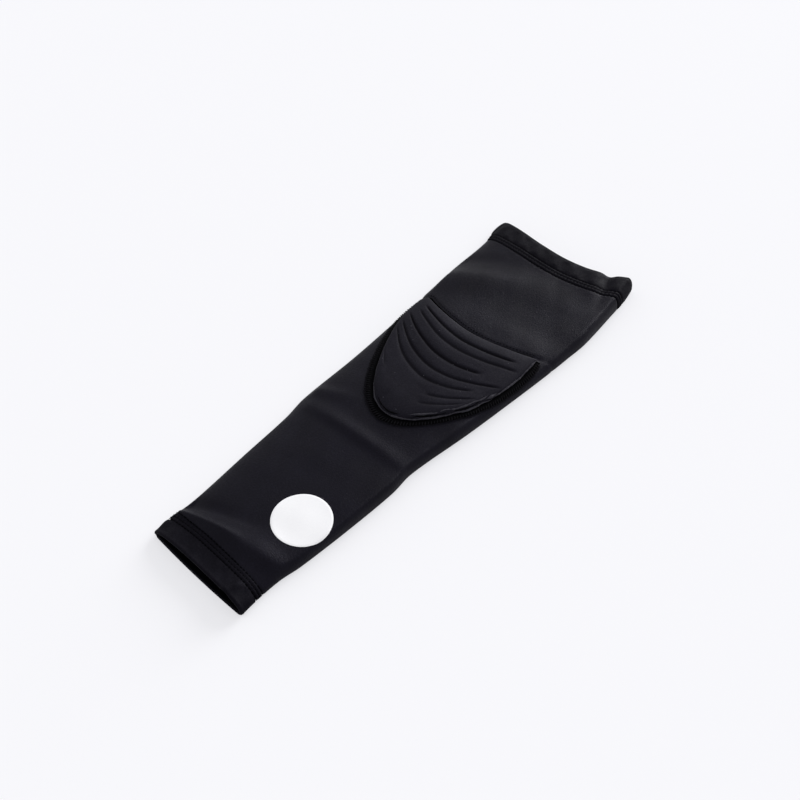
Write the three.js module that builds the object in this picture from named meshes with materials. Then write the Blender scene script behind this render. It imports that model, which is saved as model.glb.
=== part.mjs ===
// Padded arm sleeve: a tapered tube of stretch knit that lies on a table, with a moulded elbow pad.
// Millimetres. X runs from the wrist end to the upper arm, Y across the sleeve, Z up from the table.

import * as THREE from 'three';

const { clamp, lerp, smoothstep } = THREE.MathUtils;

// Walls, and the clearance between neighbouring pieces
const KNIT_WALL = 1.0;
const HEM_WALL = 2.0;
const GAP = 0.3;

// The two long sides are folds that stand this high off the table
const SIDE_FOLD_HEIGHT = 3.0;
// Shares of the width over which the right fold's own tight turn climbs, and over which a crease
// dies out towards a side fold
const TURN_WIDTH = 0.035;
const CREASE_FADE = 0.045;

// Depths of the turned hems
const WRIST_HEM_DEPTH = 16.7;
const UPPER_HEM_DEPTH = 23.8;

// Elbow pad, its grooves and the flat seam band round it; they stand clear of the cloth
const CLOTH_CLEARANCE = 0.4;
const PAD_THICKNESS = 5.2;
const PAD_WALL_HEIGHT = 2.2;
const PAD_CROWN_REACH = 12.0;
const GROOVE_DEPTH = 1.1;
const GROOVE_HALF_WIDTH = 1.9;
const BAND_THICKNESS = 1.2;
// Band widths, evenly along the pad's outline from its top right corner round to its top left one
const BAND_WIDTHS = [4.4, 5.8, 5.2, 4.7, 7.0, 6.9, 6.2, 4.9, 2.6];
// Past the pad's right corner the panel seam runs this much up the arm for each millimetre across
const SEAM_DRIFT = 0.6;

// Round print near the wrist
const DOT = { x: -124.9, y: -21.8, radius: 19.3, thickness: 0.5 };

// Grid of the walls: columns over the top and under it, length of a row and the fewest rows
const TOP_COLUMNS = 18;
const UNDER_COLUMNS = 8;
const ROW_LENGTH = 7.5;
const FEWEST_ROWS = 4;
const PAD_COLUMNS = 18;
// Rows of the pad's rounded edge, as shares of its reach
const PAD_EDGE_ROWS = [0, 0.08, 0.3];
const BAND_STEPS = 16;
const BAND_COLUMNS = 4;
const DOT_CELLS = 12;

// Distance between the points that give a slope, and the steps of a walk over the cloth
const SLOPE_STEP = 0.2;
const WALK_STEPS = 40;

// Colours and roughness of the pieces
const KNIT = { color: 0x1f1e23, roughness: 0.8 };
const HEM = { color: 0x201e23, roughness: 0.85 };
const PAD_COVER = { color: 0x26252a, roughness: 0.9 };
const SEAM_THREAD = { color: 0x0a0a0c, roughness: 0.9 };
const PRINT_FILM = { color: 0xe4e4e4, roughness: 0.6 };

// Sections along the sleeve: right and left side folds, height of the crown, and the shares of
// the width over which the top falls to the right fold and to the left one. The turn is the share
// of the height that the right fold's tight turn takes before the shoulder.
const STATIONS = [
  { x: -193, right: -37.6, left: 43.5, crown: 10.8, fall: 0.12, turn: 0.00, rise: 0.38 },
  { x: -176, right: -37.1, left: 45.8, crown: 9.8, fall: 0.20, turn: 0.00, rise: 0.40 },
  { x: -160, right: -37.8, left: 44.4, crown: 11.6, fall: 0.28, turn: 0.30, rise: 0.45 },
  { x: -146, right: -40.3, left: 44.6, crown: 11.8, fall: 0.34, turn: 0.60, rise: 0.48 },
  { x: -108, right: -43.8, left: 47.0, crown: 12.1, fall: 0.42, turn: 0.88, rise: 0.50 },
  { x: -68, right: -46.0, left: 49.2, crown: 12.3, fall: 0.42, turn: 0.80, rise: 0.50 },
  { x: -48, right: -45.0, left: 52.0, crown: 12.4, fall: 0.42, turn: 0.70, rise: 0.48 },
  { x: 2, right: -51.8, left: 52.0, crown: 14.0, fall: 0.42, turn: 0.50, rise: 0.45 },
  { x: 47, right: -56.8, left: 53.6, crown: 15.5, fall: 0.40, turn: 0.25, rise: 0.40 },
  { x: 82, right: -60.2, left: 55.4, crown: 15.0, fall: 0.36, turn: 0.30, rise: 0.40 },
  { x: 102, right: -61.6, left: 56.7, crown: 13.7, fall: 0.38, turn: 0.55, rise: 0.42 },
  { x: 122, right: -62.8, left: 58.0, crown: 13.7, fall: 0.40, turn: 0.75, rise: 0.45 },
  { x: 160, right: -60.6, left: 58.5, crown: 14.3, fall: 0.40, turn: 0.88, rise: 0.45 },
  { x: 178, right: -59.2, left: 62.0, crown: 14.7, fall: 0.34, turn: 0.90, rise: 0.42 },
  { x: 192, right: -56.6, left: 62.5, crown: 14.7, fall: 0.30, turn: 0.92, rise: 0.42 },
];

// Soft folds of the top layer: ridge or hollow from one plan point to another, its heights at the
// start, the middle and the end, and its widths to the wrist's side and to the upper arm's side.
const CREASES = [
  // Ridge behind the wrist hem, the hollow past it and the pucker at the mouth
  { from: [-169, 46], to: [-159.8, -5], heights: [2.8, 2.9, 0.3], widths: [2.6, 3.0] },
  { from: [-167, 22], to: [-157.5, -36], heights: [0.4, 3.3, 2.1], widths: [5.0, 6.6] },
  { from: [-160.5, 46], to: [-146, -5], heights: [-2.4, -1.4, -0.3], widths: [3.6, 6.0] },
  { from: [-156, 6], to: [-151, -30], heights: [0.5, 1.1, 0.6], widths: [5.0, 8.0] },
  { from: [-191, -21], to: [-178, -27], heights: [1.3, 1.4, 0.3], widths: [3.2, 3.2] },
  // Ridge across the forearm, and a short one towards the pad
  { from: [-53, 40], to: [-53, -42], heights: [0.8, 2.0, 0.6], widths: [4.5, 7.0] },
  { from: [-38, 47], to: [-30, 18], heights: [1.4, 0.9, 0.3], widths: [6.0, 5.0] },
  // Ridge across the upper arm, and the hollow before the hem
  { from: [105, 55], to: [143, -22], heights: [4.2, 2.5, 0.5], widths: [18.0, 11.0] },
  { from: [134, 56], to: [152, 6], heights: [-1.2, -0.9, -0.3], widths: [8.0, 8.0] },
  // Low swell along the upper hem's stitches
  { from: [172, 52], to: [163, -35], heights: [0.6, 0.9, 1.0], widths: [9.0, 26.0] },
  // Valley that runs from the upper mouth to the right fold
  { from: [192, -38], to: [150, -52], heights: [-3.6, -1.8, -0.3], widths: [4.6, 4.2] },
];

// Mouth lines: place of each corner, how far the middle of each layer is drawn towards the wrist,
// how much more than the left half the top layer's right half is drawn, how much less than the mouth
// the hem's stitches are drawn, and the way into the sleeve
const WRIST_MOUTH = {
  right: -191, left: -186, topSag: -1.1, underSag: 1.4, skew: 0, ease: 0, inwards: 1,
};
const UPPER_MOUTH = {
  right: 191, left: 188.2, topSag: 14.8, underSag: 5, skew: 0.3, ease: 4.2, inwards: -1,
};

// The pad's cross rows at its top edge, halfway and at its tip: where each row meets the right
// and left sides, and how far its middle dips towards the wrist.
const PAD_ROWS = [
  { xRight: 76.8, yRight: -50.7, xLeft: 76.9, yLeft: 45.1, dip: 12.2 },
  { xRight: 40.2, yRight: -50.3, xLeft: 51.7, yLeft: 47.2, dip: 25.1 },
  { xRight: 8.1, yRight: -42.4, xLeft: 6.0, yLeft: 30.1, dip: 34.8 },
];

// Moulded grooves: the row that each follows, the stretch of that row from right to left, and the
// share of the full depth
const GROOVES = [
  { row: 0.135, from: 0.06, to: 0.92, depth: 1.00 },
  { row: 0.238, from: 0.01, to: 0.91, depth: 0.75 },
  { row: 0.379, from: 0.16, to: 0.96, depth: 1.00 },
  { row: 0.508, from: 0.00, to: 0.96, depth: 0.85 },
  { row: 0.616, from: 0.10, to: 0.97, depth: 0.75 },
  { row: 0.744, from: 0.04, to: 0.38, depth: 0.65 },
  { row: 0.842, from: 0.78, to: 0.96, depth: 0.45 },
  { row: 0.842, from: 0.06, to: 0.38, depth: 0.50 },
];

// Rounded shoulder: 0 at a fold, 1 from the far end of the shoulder onwards
function shoulder(share) {
  const rest = 1 - clamp(share, 0, 1);
  return Math.sqrt(1 - rest * rest);
}

// Arch over the width: 0 at both sides, 1 in the middle
function arch(share) {
  return 4 * share * (1 - share);
}

// Value at a share between three values at the start, the middle and the end
function through([first, middle, last], share) {
  return first * (1 - share) * (1 - 2 * share) + middle * arch(share) + last * share * (2 * share - 1);
}

// Value at a share of an evenly spaced list
function valueAlong(list, share) {
  const place = share * (list.length - 1);
  const k = Math.min(Math.floor(place), list.length - 2);
  return lerp(list[k], list[k + 1], place - k);
}

// Even shares from 0 to 1
function even(count) {
  return Array.from({ length: count + 1 }, (_, k) => k / count);
}

// Shares from 0 to 1 that crowd towards both ends
function crowded(count) {
  return even(count).map((share) => (1 - Math.cos(Math.PI * share)) / 2);
}

// Every column of a table at place x, on a smooth curve through its rows
function columnsAt(rows, x) {
  let i = 0;
  while (i < rows.length - 2 && x > rows[i + 1].x) {
    i += 1;
  }
  const a = rows[i];
  const b = rows[i + 1];
  const before = rows[Math.max(i - 1, 0)];
  const after = rows[Math.min(i + 2, rows.length - 1)];
  const span = b.x - a.x;
  const t = clamp((x - a.x) / span, 0, 1);
  const value = {};
  for (const column of Object.keys(a)) {
    const slopeA = ((b[column] - before[column]) / (b.x - before.x)) * span;
    const slopeB = ((after[column] - a[column]) / (after.x - a.x)) * span;
    const change = b[column] - a[column];
    const bend = (1 - t) * (slopeA - change) - t * (slopeB - change);
    value[column] = a[column] + t * change + t * (1 - t) * bend;
  }
  return value;
}

// Height that the creases add to the top layer at a plan point
function creaseLift(x, y) {
  let lift = 0;
  for (const { from, to, heights, widths } of CREASES) {
    const [dx, dy] = [to[0] - from[0], to[1] - from[1]];
    const [px, py] = [x - from[0], y - from[1]];
    const length = Math.hypot(dx, dy);
    const share = clamp((px * dx + py * dy) / length ** 2, 0, 1);
    const away = Math.hypot(px - dx * share, py - dy * share);
    const side = away > 0 ? (dx * py - dy * px) / (length * away) : 0;
    const width = lerp(widths[0], widths[1], (clamp(side, -1, 1) + 1) / 2);
    lift += through(heights, share) * Math.exp(-((away / width) ** 2));
  }
  return lift;
}

// Point of the top layer, at share v of the width from the right fold, inset from its outer face
function topPoint(x, v, inset) {
  const { right, left, crown, fall, turn, rise } = columnsAt(STATIONS, x);
  const y = lerp(right + inset, left - inset, v);
  const rightSide = lerp(shoulder(v / fall), shoulder(v / TURN_WIDTH), turn);
  const climb = rightSide * shoulder((1 - v) / rise);
  const fade = smoothstep(Math.min(v, 1 - v), 0, CREASE_FADE);
  const height = (crown - inset - SIDE_FOLD_HEIGHT) * climb;
  return new THREE.Vector3(x, y, SIDE_FOLD_HEIGHT + height + fade * creaseLift(x, y));
}

// Point of the layer that lies on the table
function underPoint(x, v, inset) {
  const section = columnsAt(STATIONS, x);
  const right = section.right + inset;
  const left = section.left - inset;
  const y = lerp(right, left, v);
  const radius = SIDE_FOLD_HEIGHT - inset;
  const fromFold = Math.min(y - right, left - y);
  return new THREE.Vector3(x, y, inset + radius * (1 - shoulder(fromFold / radius)));
}

// Once round the tube: over the top from right to left, and back underneath
const LOOP = [
  ...crowded(TOP_COLUMNS).map((v) => ({ v, onTop: true })),
  ...crowded(UNDER_COLUMNS).slice(1, -1).reverse().map((v) => ({ v, onTop: false })),
];

function solid(points, triangles) {
  const geometry = new THREE.BufferGeometry();
  const places = points.flatMap((point) => point.toArray());
  geometry.setAttribute('position', new THREE.Float32BufferAttribute(places, 3));
  geometry.setIndex(triangles.flat());
  geometry.computeVertexNormals();
  return geometry;
}

// Tube of cloth between two lines round the sleeve
function clothTube(startLine, endLine, wall) {
  const middle = { v: 0.5, onTop: true };
  const length = endLine(middle) - startLine(middle);
  const rows = Math.max(FEWEST_ROWS, Math.round(length / ROW_LENGTH));
  const points = [];
  for (const inset of [0, wall]) {
    for (const share of even(rows)) {
      for (const place of LOOP) {
        const x = lerp(startLine(place), endLine(place), share);
        points.push(place.onTop ? topPoint(x, place.v, inset) : underPoint(x, place.v, inset));
      }
    }
  }
  const ring = LOOP.length;
  const inner = (rows + 1) * ring;
  const last = rows * ring;
  const triangles = [];
  for (let j = 0; j < ring; j += 1) {
    const next = (j + 1) % ring;
    for (let i = 0; i < rows; i += 1) {
      const [a, b] = [i * ring + j, (i + 1) * ring + j];
      const [d, c] = [i * ring + next, (i + 1) * ring + next];
      triangles.push([a, b, c], [a, c, d]);
      triangles.push([inner + a, inner + c, inner + b], [inner + a, inner + d, inner + c]);
    }
    triangles.push([j, next, inner + next], [j, inner + next, inner + j]);
    triangles.push([last + j, inner + last + next, last + next]);
    triangles.push([last + j, inner + last + j, inner + last + next]);
  }
  return solid(points, triangles);
}

// The edge of a mouth, once round the sleeve
function mouthLine({ right, left, topSag, underSag, skew }) {
  return ({ v, onTop }) => {
    const sag = onTop ? topSag * (1 + skew * (1 - 2 * v)) : underSag;
    return lerp(right, left, v) - sag * arch(v);
  };
}

// The stitched end of a mouth's hem, a distance inside its edge
function stitchLine(mouth, distance) {
  const edge = mouthLine(mouth);
  return (place) => edge(place) + mouth.inwards * (distance - mouth.ease * arch(place.v));
}

// Plan point of the pad: u from its right side to its left, w from its top edge to its tip
function padPlan(u, w) {
  const mix = (column) => through(PAD_ROWS.map((row) => row[column]), w);
  const x = lerp(mix('xRight'), mix('xLeft'), u) - mix('dip') * arch(u);
  return [x, lerp(mix('yRight'), mix('yLeft'), u)];
}

// Seam that joins the two panels: along the pad's top edge, and straight on round the sleeve
function seamLine(distance) {
  const { xRight, yRight, xLeft, yLeft, dip } = PAD_ROWS[0];
  const { right, left } = columnsAt(STATIONS, xRight);
  return ({ v, onTop }) => {
    const y = lerp(right, left, v);
    const u = clamp((y - yRight) / (yLeft - yRight), 0, 1);
    const pastCorner = onTop ? Math.max(yRight - y, 0) : (yRight - right) * (1 - v);
    const dipHere = onTop ? dip * arch(u) : 0;
    return lerp(xRight, xLeft, u) - dipHere + SEAM_DRIFT * pastCorner + distance;
  };
}

// Outer face of the top layer over a plan point, and its normal
function facePoint(x, y) {
  const { right, left } = columnsAt(STATIONS, x);
  return topPoint(x, clamp((y - right) / (left - right), 0, 1), 0);
}

function faceNormal(x, y) {
  const along = facePoint(x + SLOPE_STEP, y).sub(facePoint(x - SLOPE_STEP, y));
  const across = facePoint(x, y + SLOPE_STEP).sub(facePoint(x, y - SLOPE_STEP));
  return along.cross(across).normalize();
}

// Plan point reached by walking a distance over the cloth in a plan direction
function walk([x, y], [dx, dy], distance) {
  const length = Math.hypot(dx, dy);
  const reach = distance / WALK_STEPS;
  let place = [x, y];
  for (let k = 0; k < WALK_STEPS; k += 1) {
    const normal = faceNormal(...place);
    const slope = (normal.x * dx + normal.y * dy) / length / normal.z;
    const plan = reach / Math.hypot(1, slope) / length;
    place = [place[0] + dx * plan, place[1] + dy * plan];
  }
  return place;
}

// Closed sheet that lies on the top layer: a grid of plan points, and its thickness at each
function onCloth(grid, thicknessAt) {
  const rows = grid.length;
  const columns = grid[0].length;
  const lifted = (lift) => grid.flatMap((line, i) => line.map(([x, y], j) => (
    facePoint(x, y).addScaledVector(faceNormal(x, y), lift(i, j)))));
  const points = [
    ...lifted((i, j) => CLOTH_CLEARANCE + thicknessAt(i, j)),
    ...lifted(() => CLOTH_CLEARANCE),
  ];
  const under = rows * columns;
  const triangles = [];
  for (let i = 0; i < rows - 1; i += 1) {
    for (let j = 0; j < columns - 1; j += 1) {
      const [a, b] = [i * columns + j, (i + 1) * columns + j];
      triangles.push([a, b, b + 1], [a, b + 1, a + 1]);
      triangles.push([under + a, under + b + 1, under + b], [under + a, under + a + 1, under + b + 1]);
    }
  }
  const last = (rows - 1) * columns;
  const border = [
    ...Array.from({ length: columns - 1 }, (_, j) => j),
    ...Array.from({ length: rows - 1 }, (_, i) => i * columns + columns - 1),
    ...Array.from({ length: columns - 1 }, (_, j) => last + columns - 1 - j),
    ...Array.from({ length: rows - 1 }, (_, i) => last - i * columns),
  ];
  border.forEach((a, k) => {
    const b = border[(k + 1) % border.length];
    triangles.push([a, b, under + b], [a, under + b, under + a]);
  });
  return solid(points, triangles);
}

// Depth of the grooves at a place on the pad
function grooveDepth(u, w, padLength) {
  let deepest = 0;
  for (const { row, from, to, depth } of GROOVES) {
    if (u >= from && u <= to) {
      const away = (Math.abs(w - row) * padLength) / GROOVE_HALF_WIDTH;
      deepest = Math.max(deepest, depth * GROOVE_DEPTH * Math.max(0, 1 - away));
    }
  }
  return deepest;
}

function elbowPad() {
  const [top, , tip] = PAD_ROWS;
  const length = top.xRight - top.dip - (tip.xRight - tip.dip);
  const width = top.yLeft - top.yRight;
  const edge = PAD_EDGE_ROWS.map((share) => (share * PAD_CROWN_REACH) / length);
  const half = GROOVE_HALF_WIDTH / length;
  const grooveRows = [...new Set(GROOVES.map(({ row }) => row))];
  const ws = [
    ...edge,
    ...grooveRows.flatMap((row) => [row - half, row, row + half]),
    (grooveRows.at(-1) + 1) / 2,
    ...edge.map((share) => 1 - share).reverse(),
  ];
  const us = crowded(PAD_COLUMNS).reverse();
  const grid = ws.map((w) => us.map((u) => padPlan(u, w)));
  return onCloth(grid, (i, j) => {
    const [u, w] = [us[j], ws[i]];
    const toEdge = Math.min(u * width, (1 - u) * width, w * length, (1 - w) * length);
    const crown = (PAD_THICKNESS - PAD_WALL_HEIGHT) * shoulder(toEdge / PAD_CROWN_REACH);
    return PAD_WALL_HEIGHT + crown - grooveDepth(u, w, length);
  });
}

function padSeam() {
  const shares = even(BAND_STEPS);
  const outline = [
    ...shares.map((s) => padPlan(0, s)),
    ...shares.slice(1).map((s) => padPlan(s, 1)),
    ...shares.slice(1).map((s) => padPlan(1, 1 - s)),
  ];
  const last = outline.length - 1;
  const grid = outline.map((place, k) => {
    const before = outline[Math.max(k - 1, 0)];
    const after = outline[Math.min(k + 1, last)];
    const outward = [before[1] - after[1], after[0] - before[0]];
    const width = valueAlong(BAND_WIDTHS, k / last);
    return even(BAND_COLUMNS).map((share) => walk(place, outward, GAP + CLOTH_CLEARANCE + share * width));
  });
  return onCloth(grid, () => BAND_THICKNESS);
}

function printDot() {
  const shares = crowded(DOT_CELLS).map((share) => 2 * share - 1);
  const grid = shares.map((a) => shares.map((b) => {
    const along = a * DOT.radius * Math.sqrt(1 - (b * b) / 2);
    const across = b * DOT.radius * Math.sqrt(1 - (a * a) / 2);
    return walk([DOT.x + along, DOT.y], [0, 1], across);
  }));
  return onCloth(grid, () => DOT.thickness);
}

function piece(name, geometry, finish) {
  const mesh = new THREE.Mesh(geometry, new THREE.MeshStandardMaterial({ ...finish, metalness: 0 }));
  mesh.name = name;
  return mesh;
}

const wristHem = clothTube(mouthLine(WRIST_MOUTH), stitchLine(WRIST_MOUTH, WRIST_HEM_DEPTH), HEM_WALL);
const forearm = clothTube(stitchLine(WRIST_MOUTH, WRIST_HEM_DEPTH + GAP), seamLine(GAP), KNIT_WALL);
const upperArm = clothTube(seamLine(2 * GAP), stitchLine(UPPER_MOUTH, UPPER_HEM_DEPTH + GAP), KNIT_WALL);
const upperHem = clothTube(stitchLine(UPPER_MOUTH, UPPER_HEM_DEPTH), mouthLine(UPPER_MOUTH), HEM_WALL);

const sleeve = new THREE.Group();
sleeve.add(piece('wrist_hem', wristHem, HEM));
sleeve.add(piece('forearm_panel', forearm, KNIT));
sleeve.add(piece('upper_arm_panel', upperArm, KNIT));
sleeve.add(piece('upper_hem', upperHem, HEM));
sleeve.add(piece('elbow_pad', elbowPad(), PAD_COVER));
sleeve.add(piece('pad_seam', padSeam(), SEAM_THREAD));
sleeve.add(piece('print_dot', printDot(), PRINT_FILM));

export default sleeve;
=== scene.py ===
"""Padded arm sleeve: the knit, pad, seams and print of the sleeve as it lies on a table.

Sizes are millimetres, as in the solids; meshes are written in metres.
X runs from the wrist end to the upper arm, Y across the sleeve and Z up from the table.
"""

import logging
import math
from dataclasses import dataclass
from enum import Enum
from typing import Callable, Mapping

import bpy
import numpy as np
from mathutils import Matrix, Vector


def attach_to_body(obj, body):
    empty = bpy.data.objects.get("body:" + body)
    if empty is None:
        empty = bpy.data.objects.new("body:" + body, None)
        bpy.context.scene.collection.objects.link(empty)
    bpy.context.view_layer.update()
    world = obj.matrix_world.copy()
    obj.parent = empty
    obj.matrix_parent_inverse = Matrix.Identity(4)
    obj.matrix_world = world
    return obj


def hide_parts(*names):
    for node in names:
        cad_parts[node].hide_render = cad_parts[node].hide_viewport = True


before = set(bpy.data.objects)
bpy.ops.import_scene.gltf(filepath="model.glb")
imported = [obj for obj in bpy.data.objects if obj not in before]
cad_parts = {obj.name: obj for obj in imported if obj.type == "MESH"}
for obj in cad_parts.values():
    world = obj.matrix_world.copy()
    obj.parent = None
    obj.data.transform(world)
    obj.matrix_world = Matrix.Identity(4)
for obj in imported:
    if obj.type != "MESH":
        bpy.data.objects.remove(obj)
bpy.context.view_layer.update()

LOG = logging.getLogger("arm_sleeve")
MM = 0.001
ROOT = "root"
# Least length that anything is divided by
TINY = 1e-9
# How much points crowd towards the folds, on the top layer and on the one underneath
TOP_CROWDING = 0.6
UNDER_CROWDING = 0.8
# Numbers of a colour mix's two colours, and of its result
MIX_A, MIX_B, MIX_OUT = 6, 7, 2
# Spacing of a wave texture's bands at scale 1
WAVE_BAND = 2 * math.pi / 20
# A stitch's facets, the seeds of its lean and size, and the limits of its thickness
STITCH_SIDES = 8
STITCH_RINGS = 6
LEAN_SEED = 3
SIZE_SEED = 7
THINNEST = 0.85
THICKEST = 1.12

Array = np.ndarray
Line = Callable[[Array, Array], Array]


class Slot(str, Enum):
    """The record's material slots."""

    KNIT = "knit"
    HEM = "hem"
    PAD = "pad"
    THREAD = "thread"
    PRINT = "print"


class Turn(float, Enum):
    """Way that a stitch lies to the line that it is sewn along, in degrees."""

    ALONG = 0.0
    SLANTED = 78.0


@dataclass(frozen=True)
class Station:
    """A section of the sleeve: its side folds, its crown's height and its shoulders.

    The shoulders are shares of the width; turn is the share of the height that the right fold's
    own tight turn takes, before the shoulder.
    """

    x: float
    right: float
    left: float
    crown: float
    fall: float
    turn: float
    rise: float


@dataclass(frozen=True)
class Crease:
    """A soft ridge or hollow of the top layer between two plan points.

    It has heights at its start, middle and end, and a width to each side of its line: towards
    the wrist, then towards the upper arm.
    """

    start: tuple[float, float]
    end: tuple[float, float]
    height: tuple[float, float, float]
    width: tuple[float, float]


@dataclass(frozen=True)
class PadRow:
    """A cross row of the pad: where it meets both sides, and how far its middle dips."""

    x_right: float
    y_right: float
    x_left: float
    y_left: float
    dip: float


@dataclass(frozen=True)
class Groove:
    """A moulded groove of the pad: its row, its stretch from right to left and its depth's share."""

    row: float
    start: float
    end: float
    depth: float


@dataclass(frozen=True)
class Swell:
    """A sine over the lying cloth, by its reach along and across the sleeve and its phase."""

    along: float
    across: float
    phase: float = 0.0

    def at(self, x: Array, y: Array) -> Array:
        """Heights from -1 to 1 at plan points."""
        return np.sin(x / self.along + y / self.across + self.phase)


@dataclass(frozen=True)
class CrossedSwells:
    """Two swells that cross, and their share of the knit's waviness."""

    share: float
    first: Swell
    second: Swell


STATIONS = (
    Station(x=-193, right=-37.6, left=43.5, crown=10.8, fall=0.12, turn=0.00, rise=0.38),
    Station(x=-176, right=-37.1, left=45.8, crown=9.8, fall=0.20, turn=0.00, rise=0.40),
    Station(x=-160, right=-37.8, left=44.4, crown=11.6, fall=0.28, turn=0.30, rise=0.45),
    Station(x=-146, right=-40.3, left=44.6, crown=11.8, fall=0.34, turn=0.60, rise=0.48),
    Station(x=-108, right=-43.8, left=47.0, crown=12.1, fall=0.42, turn=0.88, rise=0.50),
    Station(x=-68, right=-46.0, left=49.2, crown=12.3, fall=0.42, turn=0.80, rise=0.50),
    Station(x=-48, right=-45.0, left=52.0, crown=12.4, fall=0.42, turn=0.70, rise=0.48),
    Station(x=2, right=-51.8, left=52.0, crown=14.0, fall=0.42, turn=0.50, rise=0.45),
    Station(x=47, right=-56.8, left=53.6, crown=15.5, fall=0.40, turn=0.25, rise=0.40),
    Station(x=82, right=-60.2, left=55.4, crown=15.0, fall=0.36, turn=0.30, rise=0.40),
    Station(x=102, right=-61.6, left=56.7, crown=13.7, fall=0.38, turn=0.55, rise=0.42),
    Station(x=122, right=-62.8, left=58.0, crown=13.7, fall=0.40, turn=0.75, rise=0.45),
    Station(x=160, right=-60.6, left=58.5, crown=14.3, fall=0.40, turn=0.88, rise=0.45),
    Station(x=178, right=-59.2, left=62.0, crown=14.7, fall=0.34, turn=0.90, rise=0.42),
    Station(x=192, right=-56.6, left=62.5, crown=14.7, fall=0.30, turn=0.92, rise=0.42),
)

CREASES = (
    # Ridge behind the wrist hem, the hollow past it and the pucker at the mouth
    Crease(start=(-169, 46), end=(-159.8, -5), height=(2.8, 2.9, 0.3), width=(2.6, 3.0)),
    Crease(start=(-167, 22), end=(-157.5, -36), height=(0.4, 3.3, 2.1), width=(5.0, 6.6)),
    Crease(start=(-160.5, 46), end=(-146, -5), height=(-2.4, -1.4, -0.3), width=(3.6, 6.0)),
    Crease(start=(-156, 6), end=(-151, -30), height=(0.5, 1.1, 0.6), width=(5.0, 8.0)),
    Crease(start=(-191, -21), end=(-178, -27), height=(1.3, 1.4, 0.3), width=(3.2, 3.2)),
    # Ridge across the forearm, and a short one towards the pad
    Crease(start=(-53, 40), end=(-53, -42), height=(0.8, 2.0, 0.6), width=(4.5, 7.0)),
    Crease(start=(-38, 47), end=(-30, 18), height=(1.4, 0.9, 0.3), width=(6.0, 5.0)),
    # Ridge across the upper arm, and the hollow before the hem
    Crease(start=(105, 55), end=(143, -22), height=(4.2, 2.5, 0.5), width=(18.0, 11.0)),
    Crease(start=(134, 56), end=(152, 6), height=(-1.2, -0.9, -0.3), width=(8.0, 8.0)),
    # Low swell along the upper hem's stitches
    Crease(start=(172, 52), end=(163, -35), height=(0.6, 0.9, 1.0), width=(9.0, 26.0)),
    # Valley that runs from the upper mouth to the right fold
    Crease(start=(192, -38), end=(150, -52), height=(-3.6, -1.8, -0.3), width=(4.6, 4.2)),
)

PAD_ROWS = (
    PadRow(x_right=76.8, y_right=-50.7, x_left=76.9, y_left=45.1, dip=12.2),
    PadRow(x_right=40.2, y_right=-50.3, x_left=51.7, y_left=47.2, dip=25.1),
    PadRow(x_right=8.1, y_right=-42.4, x_left=6.0, y_left=30.1, dip=34.8),
)

GROOVES = (
    Groove(row=0.135, start=0.06, end=0.92, depth=1.00),
    Groove(row=0.238, start=0.01, end=0.91, depth=0.75),
    Groove(row=0.379, start=0.16, end=0.96, depth=1.00),
    Groove(row=0.508, start=0.00, end=0.96, depth=0.85),
    Groove(row=0.616, start=0.10, end=0.97, depth=0.75),
    Groove(row=0.744, start=0.04, end=0.38, depth=0.65),
    Groove(row=0.842, start=0.78, end=0.96, depth=0.45),
    Groove(row=0.842, start=0.06, end=0.38, depth=0.50),
)

UNEVENNESS = (
    CrossedSwells(1.0, Swell(along=9.1, across=23.0), Swell(along=-31.0, across=11.3, phase=1.7)),
    CrossedSwells(0.6, Swell(along=4.7, across=-8.9, phase=0.4), Swell(along=17.0, across=6.1)),
)


def shoulder(share: Array) -> Array:
    """Rounded shoulder: 0 at a fold, 1 from the far end of the shoulder onwards."""
    rest = 1 - np.clip(share, 0, 1)
    return np.sqrt(1 - rest * rest)


def smooth(share: Array) -> Array:
    """Smooth step from 0 to 1 over shares 0 to 1."""
    t = np.clip(share, 0, 1)
    return t * t * (3 - 2 * t)


def bell(distance: Array, width: Array | float) -> Array:
    """Bell curve of height 1 that falls off over a width."""
    return np.exp(-((distance / width) ** 2))


def crowded(count: int, pull: float = 1.0) -> Array:
    """Shares from 0 to 1 that crowd towards both ends.

    Args:
        count: Number of steps.
        pull: 0 spaces them evenly, 1 as the cosine does.

    Returns:
        The shares, count + 1 of them.
    """
    even = np.linspace(0, 1, count + 1)
    return (1 - pull) * even + pull * (1 - np.cos(math.pi * even)) / 2


def once_round(top_columns: int, under_columns: int) -> tuple[Array, Array]:
    """Points once round the sleeve, over the top from its right fold and back underneath.

    Args:
        top_columns: Steps over the top layer.
        under_columns: Steps underneath.

    Returns:
        Shares of the width, and whether each point is on the top layer.
    """
    top = crowded(top_columns, TOP_CROWDING)
    under = crowded(under_columns, UNDER_CROWDING)[1:-1][::-1]
    on_top = np.concatenate([np.ones(len(top), bool), np.zeros(len(under), bool)])
    return np.concatenate([top, under]), on_top


def unit(vectors: Array) -> Array:
    """Vectors of length 1 along the last axis."""
    return vectors / np.maximum(np.linalg.norm(vectors, axis=-1, keepdims=True), TINY)


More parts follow.
